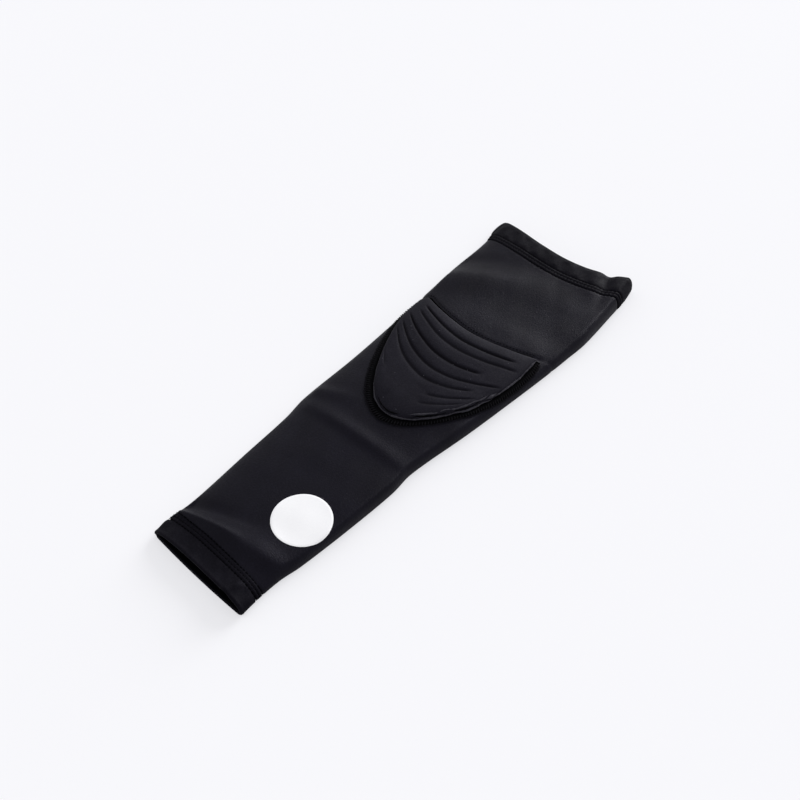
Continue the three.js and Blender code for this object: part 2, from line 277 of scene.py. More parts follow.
@dataclass(frozen=True)
class SleeveForm:
    """The lying sleeve's surface, worked out from its stations and creases."""

    stations: tuple[Station, ...] = STATIONS
    creases: tuple[Crease, ...] = CREASES
    unevenness: tuple[CrossedSwells, ...] = UNEVENNESS
    side_fold: float = 3.0
    turn_width: float = 0.035
    crease_fade: float = 0.045
    waviness: float = 0.17
    # Half the span that a direction is measured over, and the steps of a walk over the cloth
    probe: float = 0.2
    walk_steps: int = 40

    def columns(self, x: Array) -> dict[str, Array]:
        """Every column of the stations at places along the sleeve, on smooth curves.

        Args:
            x: Places along the sleeve.

        Returns:
            Column names and their values at x.
        """
        places = np.array([s.x for s in self.stations])
        i = np.clip(np.searchsorted(places, x) - 1, 0, len(places) - 2)
        before = np.maximum(i - 1, 0)
        after = np.minimum(i + 2, len(places) - 1)
        span = places[i + 1] - places[i]
        t = np.clip((x - places[i]) / span, 0, 1)
        found = {}
        for name in ("right", "left", "crown", "fall", "turn", "rise"):
            column = np.array([getattr(s, name) for s in self.stations])
            a, b = column[i], column[i + 1]
            slope_a = (b - column[before]) / (places[i + 1] - places[before]) * span
            slope_b = (column[after] - a) / (places[after] - places[i]) * span
            bend = (1 - t) * (slope_a - (b - a)) - t * (slope_b - (b - a))
            found[name] = a + t * (b - a) + t * (1 - t) * bend
        return found

    def lift(self, x: Array, y: Array) -> Array:
        """Height that creases and the knit's slight waviness add to the top layer.

        Args:
            x: Places along the sleeve.
            y: Places across it.

        Returns:
            Heights to add.
        """
        swells = [pair.share * pair.first.at(x, y) * pair.second.at(x, y) for pair in self.unevenness]
        total = self.waviness * sum(swells)
        for crease in self.creases:
            (x0, y0), (x1, y1) = crease.start, crease.end
            dx, dy = x1 - x0, y1 - y0
            length = math.hypot(dx, dy)
            t = np.clip(((x - x0) * dx + (y - y0) * dy) / length**2, 0, 1)
            away = np.hypot(x - x0 - dx * t, y - y0 - dy * t)
            side = (dx * (y - y0) - dy * (x - x0)) / (length * np.maximum(away, TINY))
            low, high = crease.width
            width = low + (high - low) * (np.clip(side, -1, 1) + 1) / 2
            first, middle, last = crease.height
            height = first * (1 - t) * (1 - 2 * t) + middle * 4 * t * (1 - t) + last * t * (2 * t - 1)
            total = total + height * bell(away, width)
        return total

    def wall(self, x: Array, v: Array, on_top: Array, inset: float = 0.0) -> Array:
        """Points of the tube's wall.

        Args:
            x: Places along the sleeve.
            v: Shares of the width, from the right fold to the left one.
            on_top: Whether each point is on the top layer, or on the one on the table.
            inset: Distance inside the outer face.

        Returns:
            Points, with a last axis of X, Y and Z.
        """
        section = self.columns(x)
        right, left = section["right"] + inset, section["left"] - inset
        y = right + (left - right) * v
        turn = section["turn"]
        right_side = turn * shoulder(v / self.turn_width) + (1 - turn) * shoulder(v / section["fall"])
        climb = right_side * shoulder((1 - v) / section["rise"])
        fade = smooth(np.minimum(v, 1 - v) / self.crease_fade)
        crown = section["crown"] - inset - self.side_fold
        top = self.side_fold + crown * climb + fade * self.lift(x, y)
        radius = self.side_fold - inset
        under = inset + radius * (1 - shoulder(np.minimum(y - right, left - y) / radius))
        return np.stack([x, y, np.where(on_top, top, under)], axis=-1)

    def face(self, x: Array, y: Array) -> Array:
        """Points of the top layer's outer face over plan points.

        Args:
            x: Places along the sleeve.
            y: Places across it.

        Returns:
            Points, with a last axis of X, Y and Z.
        """
        section = self.columns(x)
        v = np.clip((y - section["right"]) / (section["left"] - section["right"]), 0, 1)
        return self.wall(x, v, np.ones(np.shape(v), bool))

    def normal(self, x: Array, y: Array) -> Array:
        """Outward directions of the top layer's outer face over plan points.

        Args:
            x: Places along the sleeve.
            y: Places across it.

        Returns:
            Directions of length 1.
        """
        along = self.face(x + self.probe, y) - self.face(x - self.probe, y)
        across = self.face(x, y + self.probe) - self.face(x, y - self.probe)
        return unit(np.cross(along, across))

    def walk(self, place: Array, way: Array, distance: Array) -> Array:
        """Plan points reached by walking over the cloth in a plan direction.

        Args:
            place: Plan points to start from.
            way: Plan directions of length 1.
            distance: Distances over the cloth, backwards where negative.

        Returns:
            The plan points reached.
        """
        reach = np.asarray(distance, float)[..., None] / self.walk_steps
        for _ in range(self.walk_steps):
            normal = self.normal(place[..., 0], place[..., 1])
            slope = (normal[..., :2] * way).sum(-1, keepdims=True) / normal[..., 2:]
            place = place + way * reach / np.hypot(1, slope)
        return place


@dataclass(frozen=True)
class Mouth:
    """A mouth line: its corners, how far each layer's middle is drawn back, and the way in.

    The skew draws the right half of the top layer back further than the left one. The ease is how
    much less the stitch rows are drawn back than the mouth, reached over the ease's reach.
    """

    right: float
    left: float
    top_sag: float
    under_sag: float
    inwards: int
    skew: float = 0.0
    ease: float = 0.0
    ease_reach: float = 10.0

    def eased(self, v: Array, distance: Array | float) -> Array:
        """How much nearer to the mouth a line runs than its distance."""
        return self.ease * 4 * v * (1 - v) * smooth(distance / self.ease_reach)

    def line(self, distance: float) -> Line:
        """Line round the sleeve at a distance inside the mouth.

        Args:
            distance: How far inside the mouth.

        Returns:
            A function of the width's shares and layers that gives places along the sleeve.
        """

        def place(v: Array, on_top: Array) -> Array:
            """Places along the sleeve of one line.

            Args:
                v: Shares of the width.
                on_top: Whether each point is on the top layer.

            Returns:
                Places along the sleeve.
            """
            top_sag = self.top_sag * (1 + self.skew * (1 - 2 * v))
            sag = np.where(on_top, top_sag, self.under_sag) * 4 * v * (1 - v)
            inside = distance - self.eased(v, distance)
            return self.right + (self.left - self.right) * v - sag + self.inwards * inside

        return place

    def depth(self, x: Array, v: Array, on_top: Array) -> Array:
        """Distance of the line round the sleeve that each place lies on.

        Args:
            x: Places along the sleeve.
            v: Shares of the width.
            on_top: Whether each point is on the top layer.

        Returns:
            Distances inside the mouth.
        """
        inside = self.inwards * (x - self.line(0)(v, on_top))
        return inside + self.eased(v, inside)


WRIST_MOUTH = Mouth(right=-191, left=-186, top_sag=-1.1, under_sag=1.4, inwards=1)
UPPER_MOUTH = Mouth(right=191, left=188.2, top_sag=14.8, under_sag=5, inwards=-1, skew=0.3, ease=4.2)


@dataclass(frozen=True)
class PadPlan:
    """Plan of the pad: u from its right side to its left, w from its top edge to its tip."""

    rows: tuple[PadRow, PadRow, PadRow] = PAD_ROWS
    # Past the pad's right corner the seam runs this much up the arm for each millimetre across
    seam_drift: float = 0.6
    # Times that the outline's directions are averaged with their neighbours', to round its corners
    corner_rounds: int = 6

    @property
    def length(self) -> float:
        """Length along the middle."""
        top, _, tip = self.rows
        return top.x_right - top.dip - (tip.x_right - tip.dip)

    @property
    def width(self) -> float:
        """Width along the top edge."""
        return self.rows[0].y_left - self.rows[0].y_right

    def at(self, u: Array, w: Array) -> Array:
        """Plan points.

        Args:
            u: Shares of the width.
            w: Shares of the length.

        Returns:
            Points with a last axis of X and Y.
        """
        weights = ((2 * w - 1) * (w - 1), 4 * w * (1 - w), w * (2 * w - 1))

        def mix(name: str) -> Array:
            """One column, mixed from the three rows."""
            return sum(share * getattr(row, name) for share, row in zip(weights, self.rows))

        dip = mix("dip") * 4 * u * (1 - u)
        x = mix("x_right") + (mix("x_left") - mix("x_right")) * u - dip
        return np.stack([x, mix("y_right") + (mix("y_left") - mix("y_right")) * u], axis=-1)

    def outline(self, steps: int) -> tuple[Array, Array]:
        """The outline down the right side, round the tip and up the left side.

        Args:
            steps: Steps to each of the three.

        Returns:
            Plan points and outward plan directions.
        """
        s = np.linspace(0, 1, steps, endpoint=False)
        zero, one = np.zeros_like(s), np.ones_like(s)
        last = self.at(np.ones(1), np.zeros(1))
        path = np.concatenate([self.at(zero, s), self.at(s, one), self.at(one, 1 - s), last])
        ahead = unit(np.gradient(path, axis=0))
        for _ in range(self.corner_rounds):
            ahead[1:-1] = unit(ahead[:-2] + 2 * ahead[1:-1] + ahead[2:])
        return path, np.stack([-ahead[:, 1], ahead[:, 0]], -1)

    def seam(self, form: SleeveForm, distance: float) -> Line:
        """Seam line of the two panels: along the pad's top edge and straight on underneath.

        Args:
            form: The sleeve's surface.
            distance: Distance from the seam towards the upper arm.

        Returns:
            A function of the width's shares and layers that gives places along the sleeve.
        """
        top = self.rows[0]
        section = form.columns(np.array(top.x_right))
        past_corner = self.seam_drift * (top.y_right - section["right"])

        def place(v: Array, on_top: Array) -> Array:
            """Places along the sleeve of one line.

            Args:
                v: Shares of the width.
                on_top: Whether each point is on the top layer.

            Returns:
                Places along the sleeve.
            """
            y = section["right"] + (section["left"] - section["right"]) * v
            u = np.clip((y - top.y_right) / self.width, 0, 1)
            dip = np.where(on_top, top.dip * 4 * u * (1 - u), 0)
            drift = np.where(on_top, self.seam_drift * np.maximum(top.y_right - y, 0), past_corner * (1 - v))
            return top.x_right + (top.x_left - top.x_right) * u + distance - dip + drift

        return place


def linear(code: str) -> tuple[float, float, float, float]:
    """Linear colour of an sRGB hex code.

    Args:
        code: Six hex digits after a #.

    Returns:
        Linear red, green and blue, and an alpha of 1.
    """
    parts = [int(code[i : i + 2], 16) / 255 for i in (1, 3, 5)]
    made = [c / 12.92 if c <= 0.04045 else ((c + 0.055) / 1.055) ** 2.4 for c in parts]
    return (made[0], made[1], made[2], 1.0)


def add_node(
    tree: bpy.types.NodeTree,
    kind: str,
    sockets: Mapping[str | int, object] | None = None,
    **settings: object,
) -> bpy.types.Node:
    """Adds a node with its settings, values and links.

    Args:
        tree: Tree that gets the node.
        kind: The node's type.
        sockets: Input names or numbers, each with a value or an output socket to link from.
        settings: The node's own properties.

    Returns:
        The node.
    """
    node = tree.nodes.new(kind)
    for name, value in settings.items():
        setattr(node, name, value)
    for name, value in (sockets or {}).items():
        if isinstance(value, bpy.types.NodeSocket):
            tree.links.new(value, node.inputs[name])
        else:
            node.inputs[name].default_value = value
    return node


def new_material(name: str) -> tuple[bpy.types.Material, bpy.types.NodeTree]:
    """Starts an empty node material.

    Args:
        name: The material's name.

    Returns:
        The material and its tree.
    """
    material = bpy.data.materials.new(name)
    material.use_nodes = True
    material.node_tree.nodes.clear()
    return material, material.node_tree


@dataclass(frozen=True)
class KnitFinish:
    """Polyester and elastane jersey, piece dyed: fine wales along the cloth and a soft gloss."""

    name: str
    shade: str
    light_shade: str
    roughness: float
    specular: float
    gloss_tint: str = "#e2dff4"
    # Real wales are about 0.4 mm apart; they are drawn coarser so that they show
    wale_pitch: float = 0.9
    course_pitch: float = 0.75
    wale_depth: float = 0.07
    loop_wander: float = 0.6
    mottle_size: float = 26.0
    # The spun yarn's unevenness is finer than this too
    grain_size: float = 1.1
    grain_depth: float = 0.17
    # Where the mottled grain is darkest and lightest, and how far the gloss follows it
    mottle_low: float = 0.12
    mottle_high: float = 0.4
    gloss_spread: float = 0.06

    def loops(self, tree: bpy.types.NodeTree, cloth: bpy.types.NodeSocket) -> bpy.types.NodeSocket:
        """Height of the knit's loops: wales crossed by courses.

        Args:
            tree: The material's tree.
            cloth: Places on the flat cloth, in millimetres.

        Returns:
            The heights.
        """
        waves = [
            add_node(
                tree,
                "ShaderNodeTexWave",
                {"Vector": cloth, "Scale": WAVE_BAND / pitch, "Distortion": self.loop_wander, "Detail": 1.0},
                bands_direction=direction,
            )
            for direction, pitch in (("X", self.wale_pitch), ("Y", self.course_pitch))
        ]
        crossed = add_node(
            tree,
            "ShaderNodeMath",
            {number: wave.outputs["Fac"] for number, wave in enumerate(waves)},
            operation="MULTIPLY",
        )
        return crossed.outputs[0]

    def dress(
        self, tree: bpy.types.NodeTree, place: bpy.types.NodeSocket, dyed: bpy.types.NodeSocket
    ) -> tuple[bpy.types.NodeSocket, bpy.types.NodeSocket | float]:
        """Colour and specular level of the finished cloth: plain jersey keeps its own."""
        return dyed, self.specular

    def make(self) -> bpy.types.Material:
        """Builds the material.

        Returns:
            The material.
        """
        material, tree = new_material(self.name)
        coords = add_node(tree, "ShaderNodeTexCoord").outputs
        mottle = add_node(
            tree,
            "ShaderNodeTexNoise",
            {"Vector": coords["Object"], "Scale": 1 / (self.mottle_size * MM), "Detail": 3.0},
        )
        grain = add_node(
            tree,
            "ShaderNodeTexNoise",
            {"Vector": coords["Object"], "Scale": 1 / (self.grain_size * MM), "Detail": 2.0},
        )
        blend = add_node(
            tree,
            "ShaderNodeMath",
            {0: mottle.outputs["Fac"], 1: grain.outputs["Fac"]},
            operation="MULTIPLY",
        )
        limits = {"Value": blend.outputs[0], "From Min": self.mottle_low, "From Max": self.mottle_high}
        spread = add_node(tree, "ShaderNodeMapRange", limits)
        dull, bright = self.roughness + self.gloss_spread, self.roughness - self.gloss_spread
        gloss = add_node(tree, "ShaderNodeMapRange", {**limits, "To Min": dull, "To Max": bright})
        dyed = add_node(
            tree,
            "ShaderNodeMix",
            {"Factor": spread.outputs[0], MIX_A: linear(self.shade), MIX_B: linear(self.light_shade)},
            data_type="RGBA",
        )
        colour, specular = self.dress(tree, coords["Object"], dyed.outputs[MIX_OUT])
        loops = self.loops(tree, coords["UV"])
        height = add_node(
            tree,
            "ShaderNodeMath",
            {0: grain.outputs["Fac"], 1: self.grain_depth / self.wale_depth, 2: loops},
            operation="MULTIPLY_ADD",
        )
        bump = add_node(
            tree,
            "ShaderNodeBump",
            {"Height": height.outputs[0], "Strength": 1.0, "Distance": self.wale_depth * MM},
        )
        shader = add_node(
            tree,
            "ShaderNodeBsdfPrincipled",
            {
                "Base Color": colour,
                "Roughness": gloss.outputs[0],
                "Specular IOR Level": specular,
                "Specular Tint": linear(self.gloss_tint),
                "Normal": bump.outputs[0],
            },
        )
        add_node(tree, "ShaderNodeOutputMaterial", {"Surface": shader.outputs[0]})
        return material


@dataclass(frozen=True)
class PadCoverFinish(KnitFinish):
    """Brushed jersey moulded over foam, with specks of lint; its grooves get a painted shade and a duller
    gloss.
    """

    # Painted shade for the grooves, and the share of the gloss that the grooves keep
    groove_painted_shade: str = "#060507"
    groove_gloss: float = 0.3
    # Share of the cells of this size that hold a speck of lint
    lint: float = 0.1
    lint_cell: float = 2.6
    lint_size: float = 0.45
    lint_shade: str = "#5c5b62"

    def dress(
        self, tree: bpy.types.NodeTree, place: bpy.types.NodeSocket, dyed: bpy.types.NodeSocket
    ) -> tuple[bpy.types.NodeSocket, bpy.types.NodeSocket | float]:
        """Colour and specular level of the cover, with its grooves' painted shade and duller gloss, and its
        lint.

        Args:
            tree: The material's tree.
            place: Places on the cover.
            dyed: The cloth's own colour.

        Returns:
            The colour, and the specular level.
        """
        # Each point's groove share: it mixes painted shade into the grooves' colour and dulls their gloss
        painted_groove_shade = add_node(tree, "ShaderNodeAttribute", attribute_name="painted_groove_shade").outputs["Fac"]
        sunk = add_node(
            tree,
            "ShaderNodeMix",
            {"Factor": painted_groove_shade, MIX_A: dyed, MIX_B: linear(self.groove_painted_shade)},
            data_type="RGBA",
        )
        cells = add_node(
            tree,
            "ShaderNodeTexVoronoi",
            {"Vector": place, "Scale": 1 / (self.lint_cell * MM)},
        )
        pick = add_node(tree, "ShaderNodeSeparateColor", {0: cells.outputs["Color"]})
        chosen = add_node(tree, "ShaderNodeMath", {0: pick.outputs[0], 1: self.lint}, operation="LESS_THAN")
        near = add_node(
            tree,
            "ShaderNodeMath",
            {0: cells.outputs["Distance"], 1: self.lint_size / 2 / self.lint_cell},
            operation="LESS_THAN",
        )
        speck = add_node(
            tree,
            "ShaderNodeMath",
            {0: chosen.outputs[0], 1: near.outputs[0]},
            operation="MULTIPLY",
        )
        linted = add_node(
            tree,
            "ShaderNodeMix",
            {"Factor": speck.outputs[0], MIX_A: sunk.outputs[MIX_OUT], MIX_B: linear(self.lint_shade)},
            data_type="RGBA",
        )
        dulled = add_node(
            tree,
            "ShaderNodeMapRange",
            {"Value": painted_groove_shade, "To Min": self.specular, "To Max": self.specular * self.groove_gloss},
        )
        return linted.outputs[MIX_OUT], dulled.outputs[0]


@dataclass(frozen=True)
class GrainedFinish:
    """A surface with a fine grain that varies its shade and roughens its face."""

    name: str
    shade: str
    grain_shade: str
    specular: float
    roughness: float = 0.8
    grain_size: float = 0.5
    grain_depth: float = 0.1
    grain_strength: float = 0.7
    grain_detail: float = 3.0

    def make(self) -> bpy.types.Material:
        """Builds the material.

        Returns:
            The material.
        """
        material, tree = new_material(self.name)
        place = add_node(tree, "ShaderNodeTexCoord").outputs["Object"]
        grain = add_node(
            tree,
            "ShaderNodeTexNoise",
            {"Vector": place, "Scale": 1 / (self.grain_size * MM), "Detail": self.grain_detail},
        ).outputs["Fac"]
        colour = add_node(
            tree,
            "ShaderNodeMix",
            {"Factor": grain, MIX_A: linear(self.shade), MIX_B: linear(self.grain_shade)},
            data_type="RGBA",
        )
        bump = add_node(
            tree,
            "ShaderNodeBump",
            {"Height": grain, "Strength": self.grain_strength, "Distance": self.grain_depth * MM},
        )
        shader = add_node(
            tree,
            "ShaderNodeBsdfPrincipled",
            {
                "Base Color": colour.outputs[MIX_OUT],
                "Roughness": self.roughness,
                "Specular IOR Level": self.specular,
                "Normal": bump.outputs[0],
            },
        )
        add_node(tree, "ShaderNodeOutputMaterial", {"Surface": shader.outputs[0]})
        return material


@dataclass(frozen=True)
class ThreadFinish(GrainedFinish):
    """Textured polyester sewing thread, spun dyed: dull, with a fuzz that breaks up its edge."""


@dataclass(frozen=True)
class InsideShadeFinish(GrainedFinish):
    """Back of the jersey inside the tube: dull, and painted almost black as the shade that fills the tube."""


@dataclass(frozen=True)
class FusedEdgeFinish(GrainedFinish):
    """Cover and foam cut and fused by heat: paler than the cover, with a crumbly face."""


@dataclass(frozen=True)
class PrintFinish(GrainedFinish):
    """White heat-transfer film: a smooth satin skin that lets the knit under it show faintly."""

    specular: float = 0.4
    roughness: float = 0.5
    grain_size: float = 1.0
    grain_depth: float = 0.05
    grain_strength: float = 0.25
    grain_detail: float = 2.0


def new_piece(
    name: str,
    points: Array,
    faces: list[list[int]],
    material: bpy.types.Material,
    corner_uv: Array | None = None,
    sharp_angle: float = 55.0,
) -> bpy.types.Object:
    """Makes a mesh object from points in millimetres.

    Args:
        name: The piece's name.
        points: Points, one a row.
        faces: Corner numbers of every face.
        material: The piece's material.
        corner_uv: UV coordinates of every face corner, in millimetres of cloth.
        sharp_angle: Edges that bend more than this, in degrees, stay sharp.

    Returns:
        The linked object.
    """
    mesh = bpy.data.meshes.new(name)
    mesh.from_pydata((points * MM).tolist(), [], faces)
    if corner_uv is not None:
        layer = mesh.uv_layers.new(name="cloth_mm")
        layer.data.foreach_set("uv", corner_uv.astype(np.float32).ravel())
    mesh.polygons.foreach_set("use_smooth", np.ones(len(mesh.polygons), bool))
    mesh.set_sharp_from_angle(angle=math.radians(sharp_angle))
    mesh.materials.append(material)
    piece = bpy.data.objects.new(name, mesh)
    bpy.context.scene.collection.objects.link(piece)
    return piece


def attach(piece: bpy.types.Object, slot: Slot, *nodes: str) -> bpy.types.Object:
    """Fixes a piece to the sleeve's body.

    Args:
        piece: The piece.
        slot: The record's slot; not used.
        nodes: The solids that it stands for.

    Returns:
        The same piece.
    """
    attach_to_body(piece, ROOT)
    if nodes:
        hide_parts(*nodes)
    LOG.info("%s: %d faces", piece.name, len(piece.data.polygons))
    return piece


def grid_faces(rows: int, columns: int, wrap_rows: bool, wrap_columns: bool) -> tuple[Array, Array]:
    """Quads of a grid of points.

    Args:
        rows: Number of point rows.
        columns: Number of points in a row.
        wrap_rows: Whether the last row joins the first.
        wrap_columns: Whether each row closes on itself.

    Returns:
        Corner point numbers, and corner row and column numbers that run on past a closing edge.
    """
    i, j = np.meshgrid(
        np.arange(rows if wrap_rows else rows - 1),
        np.arange(columns if wrap_columns else columns - 1),
        indexing="ij",
    )
    corner_i = np.stack([i, i + 1, i + 1, i], -1).reshape(-1, 4)
    corner_j = np.stack([j, j, j + 1, j + 1], -1).reshape(-1, 4)
    numbers = (corner_i % rows) * columns + corner_j % columns
    return numbers, np.stack([corner_i, corner_j], -1)


def swept_piece(name: str, rings: Array, material: bpy.types.Material) -> bpy.types.Object:
    """A closed piece swept through rings of points.

    Args:
        name: The piece's name.
        rings: Rings of points, one after another.
        material: The piece's material.

    Returns:
        The linked object.
    """
    count, columns = rings.shape[:2]
    faces, _ = grid_faces(count, columns, False, True)
    ends = [list(range(columns))[::-1], [(count - 1) * columns + k for k in range(columns)]]
    return new_piece(name, rings.reshape(-1, 3), faces.tolist() + ends, material, sharp_angle=60.0)


def loop_normals(rings: Array) -> Array:
    """Outward directions of a tube.

    Args:
        rings: Rings of points, one after another.

    Returns:
        Directions of length 1, one for each point.
    """
    along = np.gradient(rings, axis=0)
    across = np.roll(rings, -1, axis=1) - np.roll(rings, 1, axis=1)
    return unit(np.cross(along, across))


@dataclass(frozen=True)
class Coverstitch:
    """Three-needle coverstitch of a turned hem: grooved rows with the cloth ribbed up between them."""

    rows: tuple[float, ...]
    depths: tuple[float, ...] = (0.5, 0.3, 0.4)
    groove_width: float = 0.62
    # The cloth between the rows stands up in ribs: their height, and its shares held and varied
    rib_height: float = 0.4
    rib_pitch: float = 2.8
    rib_held: float = 0.6
    rib_varied: float = 0.4
    rib_ease: float = 1.2
    hem_rise: float = 0.2
    hem_ease: float = 4.0
    # The rows bite deeper where the sleeve folds, over this share of its width
    fold_share: float = 0.07
    fold_bite: float = 1.2
    # The hem's turned edge ripples between its stitches and the mouth, in two slanting waves
    pucker: float = 0.22
    pucker_pitch: float = 17.0
    pucker_slant: float = 9.0
    pucker_ease: float = 7.0
    cross_rate: float = 1.7
    cross_slant: float = 6.0
    # The folded edge stands up as a bead along the mouth, or rolls down where this is negative
    bead: float = 0.0
    bead_width: float = 1.6

    @property
    def far(self) -> float:
        """Distance of the row farthest from the mouth, where the hem ends."""
        return self.rows[-1]

    def relief(self, distance: Array, along: Array, v: Array) -> Array:
        """Height of the cloth over its smooth face.

        Args:
            distance: Distances from the mouth.
            along: Distances round the sleeve.
            v: Shares of the width.

        Returns:
            Heights, negative in the stitch grooves.
        """
        near, far = self.rows[0], self.rows[-1]
        grooves = sum(d * bell(distance - r, self.groove_width) for r, d in zip(self.rows, self.depths))
        ease = self.rib_ease
        between = smooth((distance - near) / ease) * smooth((far - distance) / ease)
        ribs = self.rib_held + self.rib_varied * np.cos(2 * math.pi * along / self.rib_pitch)
        turn = 2 * math.pi * along / self.pucker_pitch
        slanting = np.sin(turn + distance / self.pucker_slant)
        crossing = np.sin(self.cross_rate * turn - distance / self.cross_slant)
        ripple = self.pucker * (slanting + crossing) * smooth(distance / self.pucker_ease)
        hem = (self.hem_rise + ripple) * smooth((near - distance) / self.hem_ease)
        bite = 1 + self.fold_bite * smooth(1 - np.minimum(v, 1 - v) / self.fold_share)
        bead = self.bead * bell(distance, self.bead_width)
        return hem + bead + self.rib_height * between * ribs - grooves * bite


@dataclass(frozen=True)
class PanelSeam:
    """The seam of the two panels: a narrow furrow with a topstitched row beside it."""

    furrow_offset: float = 2.7
    furrow_depth: float = 0.9
    furrow_width: float = 1.3
    row_offset: float = 5.1
    row_depth: float = 0.25
    row_width: float = 0.6
    flat_share: float = 0.75
    flat_reach: float = 4.0

    def relief(self, distance: Array, from_corner: Array) -> Array:
        """Height of the cloth over its smooth face.

        Args:
            distance: Distances from the seam, towards the upper arm.
            from_corner: Distances past the pad's right corner, where the seam is pulled flat.

        Returns:
            Heights, negative in the furrow and the stitch row.
        """
        row = self.row_depth * bell(distance - self.row_offset, self.row_width)
        flat = 1 - self.flat_share * smooth(from_corner / self.flat_reach)
        return -flat * (self.furrow_depth * bell(distance - self.furrow_offset, self.furrow_width) + row)


@dataclass(frozen=True)
class KnitTube:
    """A closed tube of cloth between two lines round the sleeve."""

    name: str
    node: str
    slot: Slot
    form: SleeveForm
    start: Line
    end: Line
    relief: Callable[[Array, Array, Array, Array], Array]
    wall: float
    row_length: float
    top_columns: int
    under_columns: int
    round_start: bool = False
    round_end: bool = False
    least_rows: int = 8
    rim_steps: int = 6
    cut_rings: int = 12

    def loop(self) -> tuple[Array, Array]:
        """Width shares and layers once round the tube."""
        return once_round(self.top_columns, self.under_columns)

    def rim(self, outer: Array, inner: Array, way: int) -> Array:
        """Rings of a rounded, turned edge from the outer ring to the inner one.

        Args:
            outer: The outer face's last ring.
            inner: The inner face's last ring.
            way: Direction along X that the edge faces.

        Returns:
            The rings between them.
        """
        angles = np.linspace(0, math.pi, self.rim_steps + 1)[1:-1, None, None]
        middle, half = (outer + inner) / 2, (outer - inner) / 2
        bulge = np.array([way, 0, 0]) * np.linalg.norm(half, axis=-1, keepdims=True)
        return middle + half * np.cos(angles) + bulge * np.sin(angles)

    def build(self, material: bpy.types.Material, lining: bpy.types.Material) -> bpy.types.Object:
        """Makes the piece.

        Args:
            material: Its cloth.
            lining: The cloth's inner side, painted almost black as the shade inside the tube.

        Returns:
            The finished piece.
        """
        v, on_top = self.loop()
        start, end = self.start(v, on_top), self.end(v, on_top)
        rows = max(self.least_rows, round(float(np.mean(end - start)) / self.row_length))
        share = np.linspace(0, 1, rows + 1)[:, None]
        x = start + (end - start) * share
        v, on_top = np.broadcast_to(v, x.shape), np.broadcast_to(on_top, x.shape)
        outer = self.form.wall(x, v, on_top)
        inner = self.form.wall(x, v, on_top, self.wall)
        steps = np.linalg.norm(np.roll(outer, -1, axis=1) - outer, axis=-1).mean(0)
        around = np.concatenate([[0], np.cumsum(steps)])
        relief = self.relief(x, v, on_top, np.broadcast_to(around[:-1], x.shape))
        relief = np.where(on_top, relief, np.minimum(relief, 0))
        outer = outer + loop_normals(outer) * relief[..., None]
        parts = [outer]
        if self.round_end:
            parts.append(self.rim(outer[-1], inner[-1], 1))
        parts.append(inner[::-1])
        if self.round_start:
            parts.append(self.rim(inner[0], outer[0], -1))
        rings = np.concatenate(parts)
        faces, corners = grid_faces(rings.shape[0], rings.shape[1], True, True)
        lengthwise = np.concatenate([rings[:, :, 0].mean(1), [rings[0, :, 0].mean()]])
        uv = np.stack([around[corners[..., 1]], lengthwise[corners[..., 0]]], -1)
        piece = new_piece(self.name, rings.reshape(-1, 3), faces.tolist(), material, uv)
        piece.data.materials.append(lining)
        first = len(rings) - len(inner) - (len(parts[-1]) if self.round_start else 0)
        # The inner side's faces take the second material: a near-black painted shade for the shade inside the
        # tube
        inside = (corners[:, 0, 0] >= first) & (corners[:, 1, 0] < first + len(inner))
        piece.data.polygons.foreach_set("material_index", inside.astype(np.int32))
        return attach(piece, self.slot, self.node)

    def cut(self) -> tuple[float, float, float]:
        """The flat cut, with a turned hem as one layer.

        Returns:
            Greatest girth and length in millimetres, and the mean girth times the mean length.
        """
        v, on_top = self.loop()
        start, end = self.start(v, on_top), self.end(v, on_top)
        shares = np.linspace(0, 1, self.cut_rings)
        rings = [self.form.wall(start + (end - start) * share, v, on_top) for share in shares]
        girths = [float(np.linalg.norm(np.roll(r, -1, axis=0) - r, axis=-1).sum()) for r in rings]
        length = float(end.max() - start.min())
        return max(girths), length, float(np.mean(girths) * np.mean(end - start))


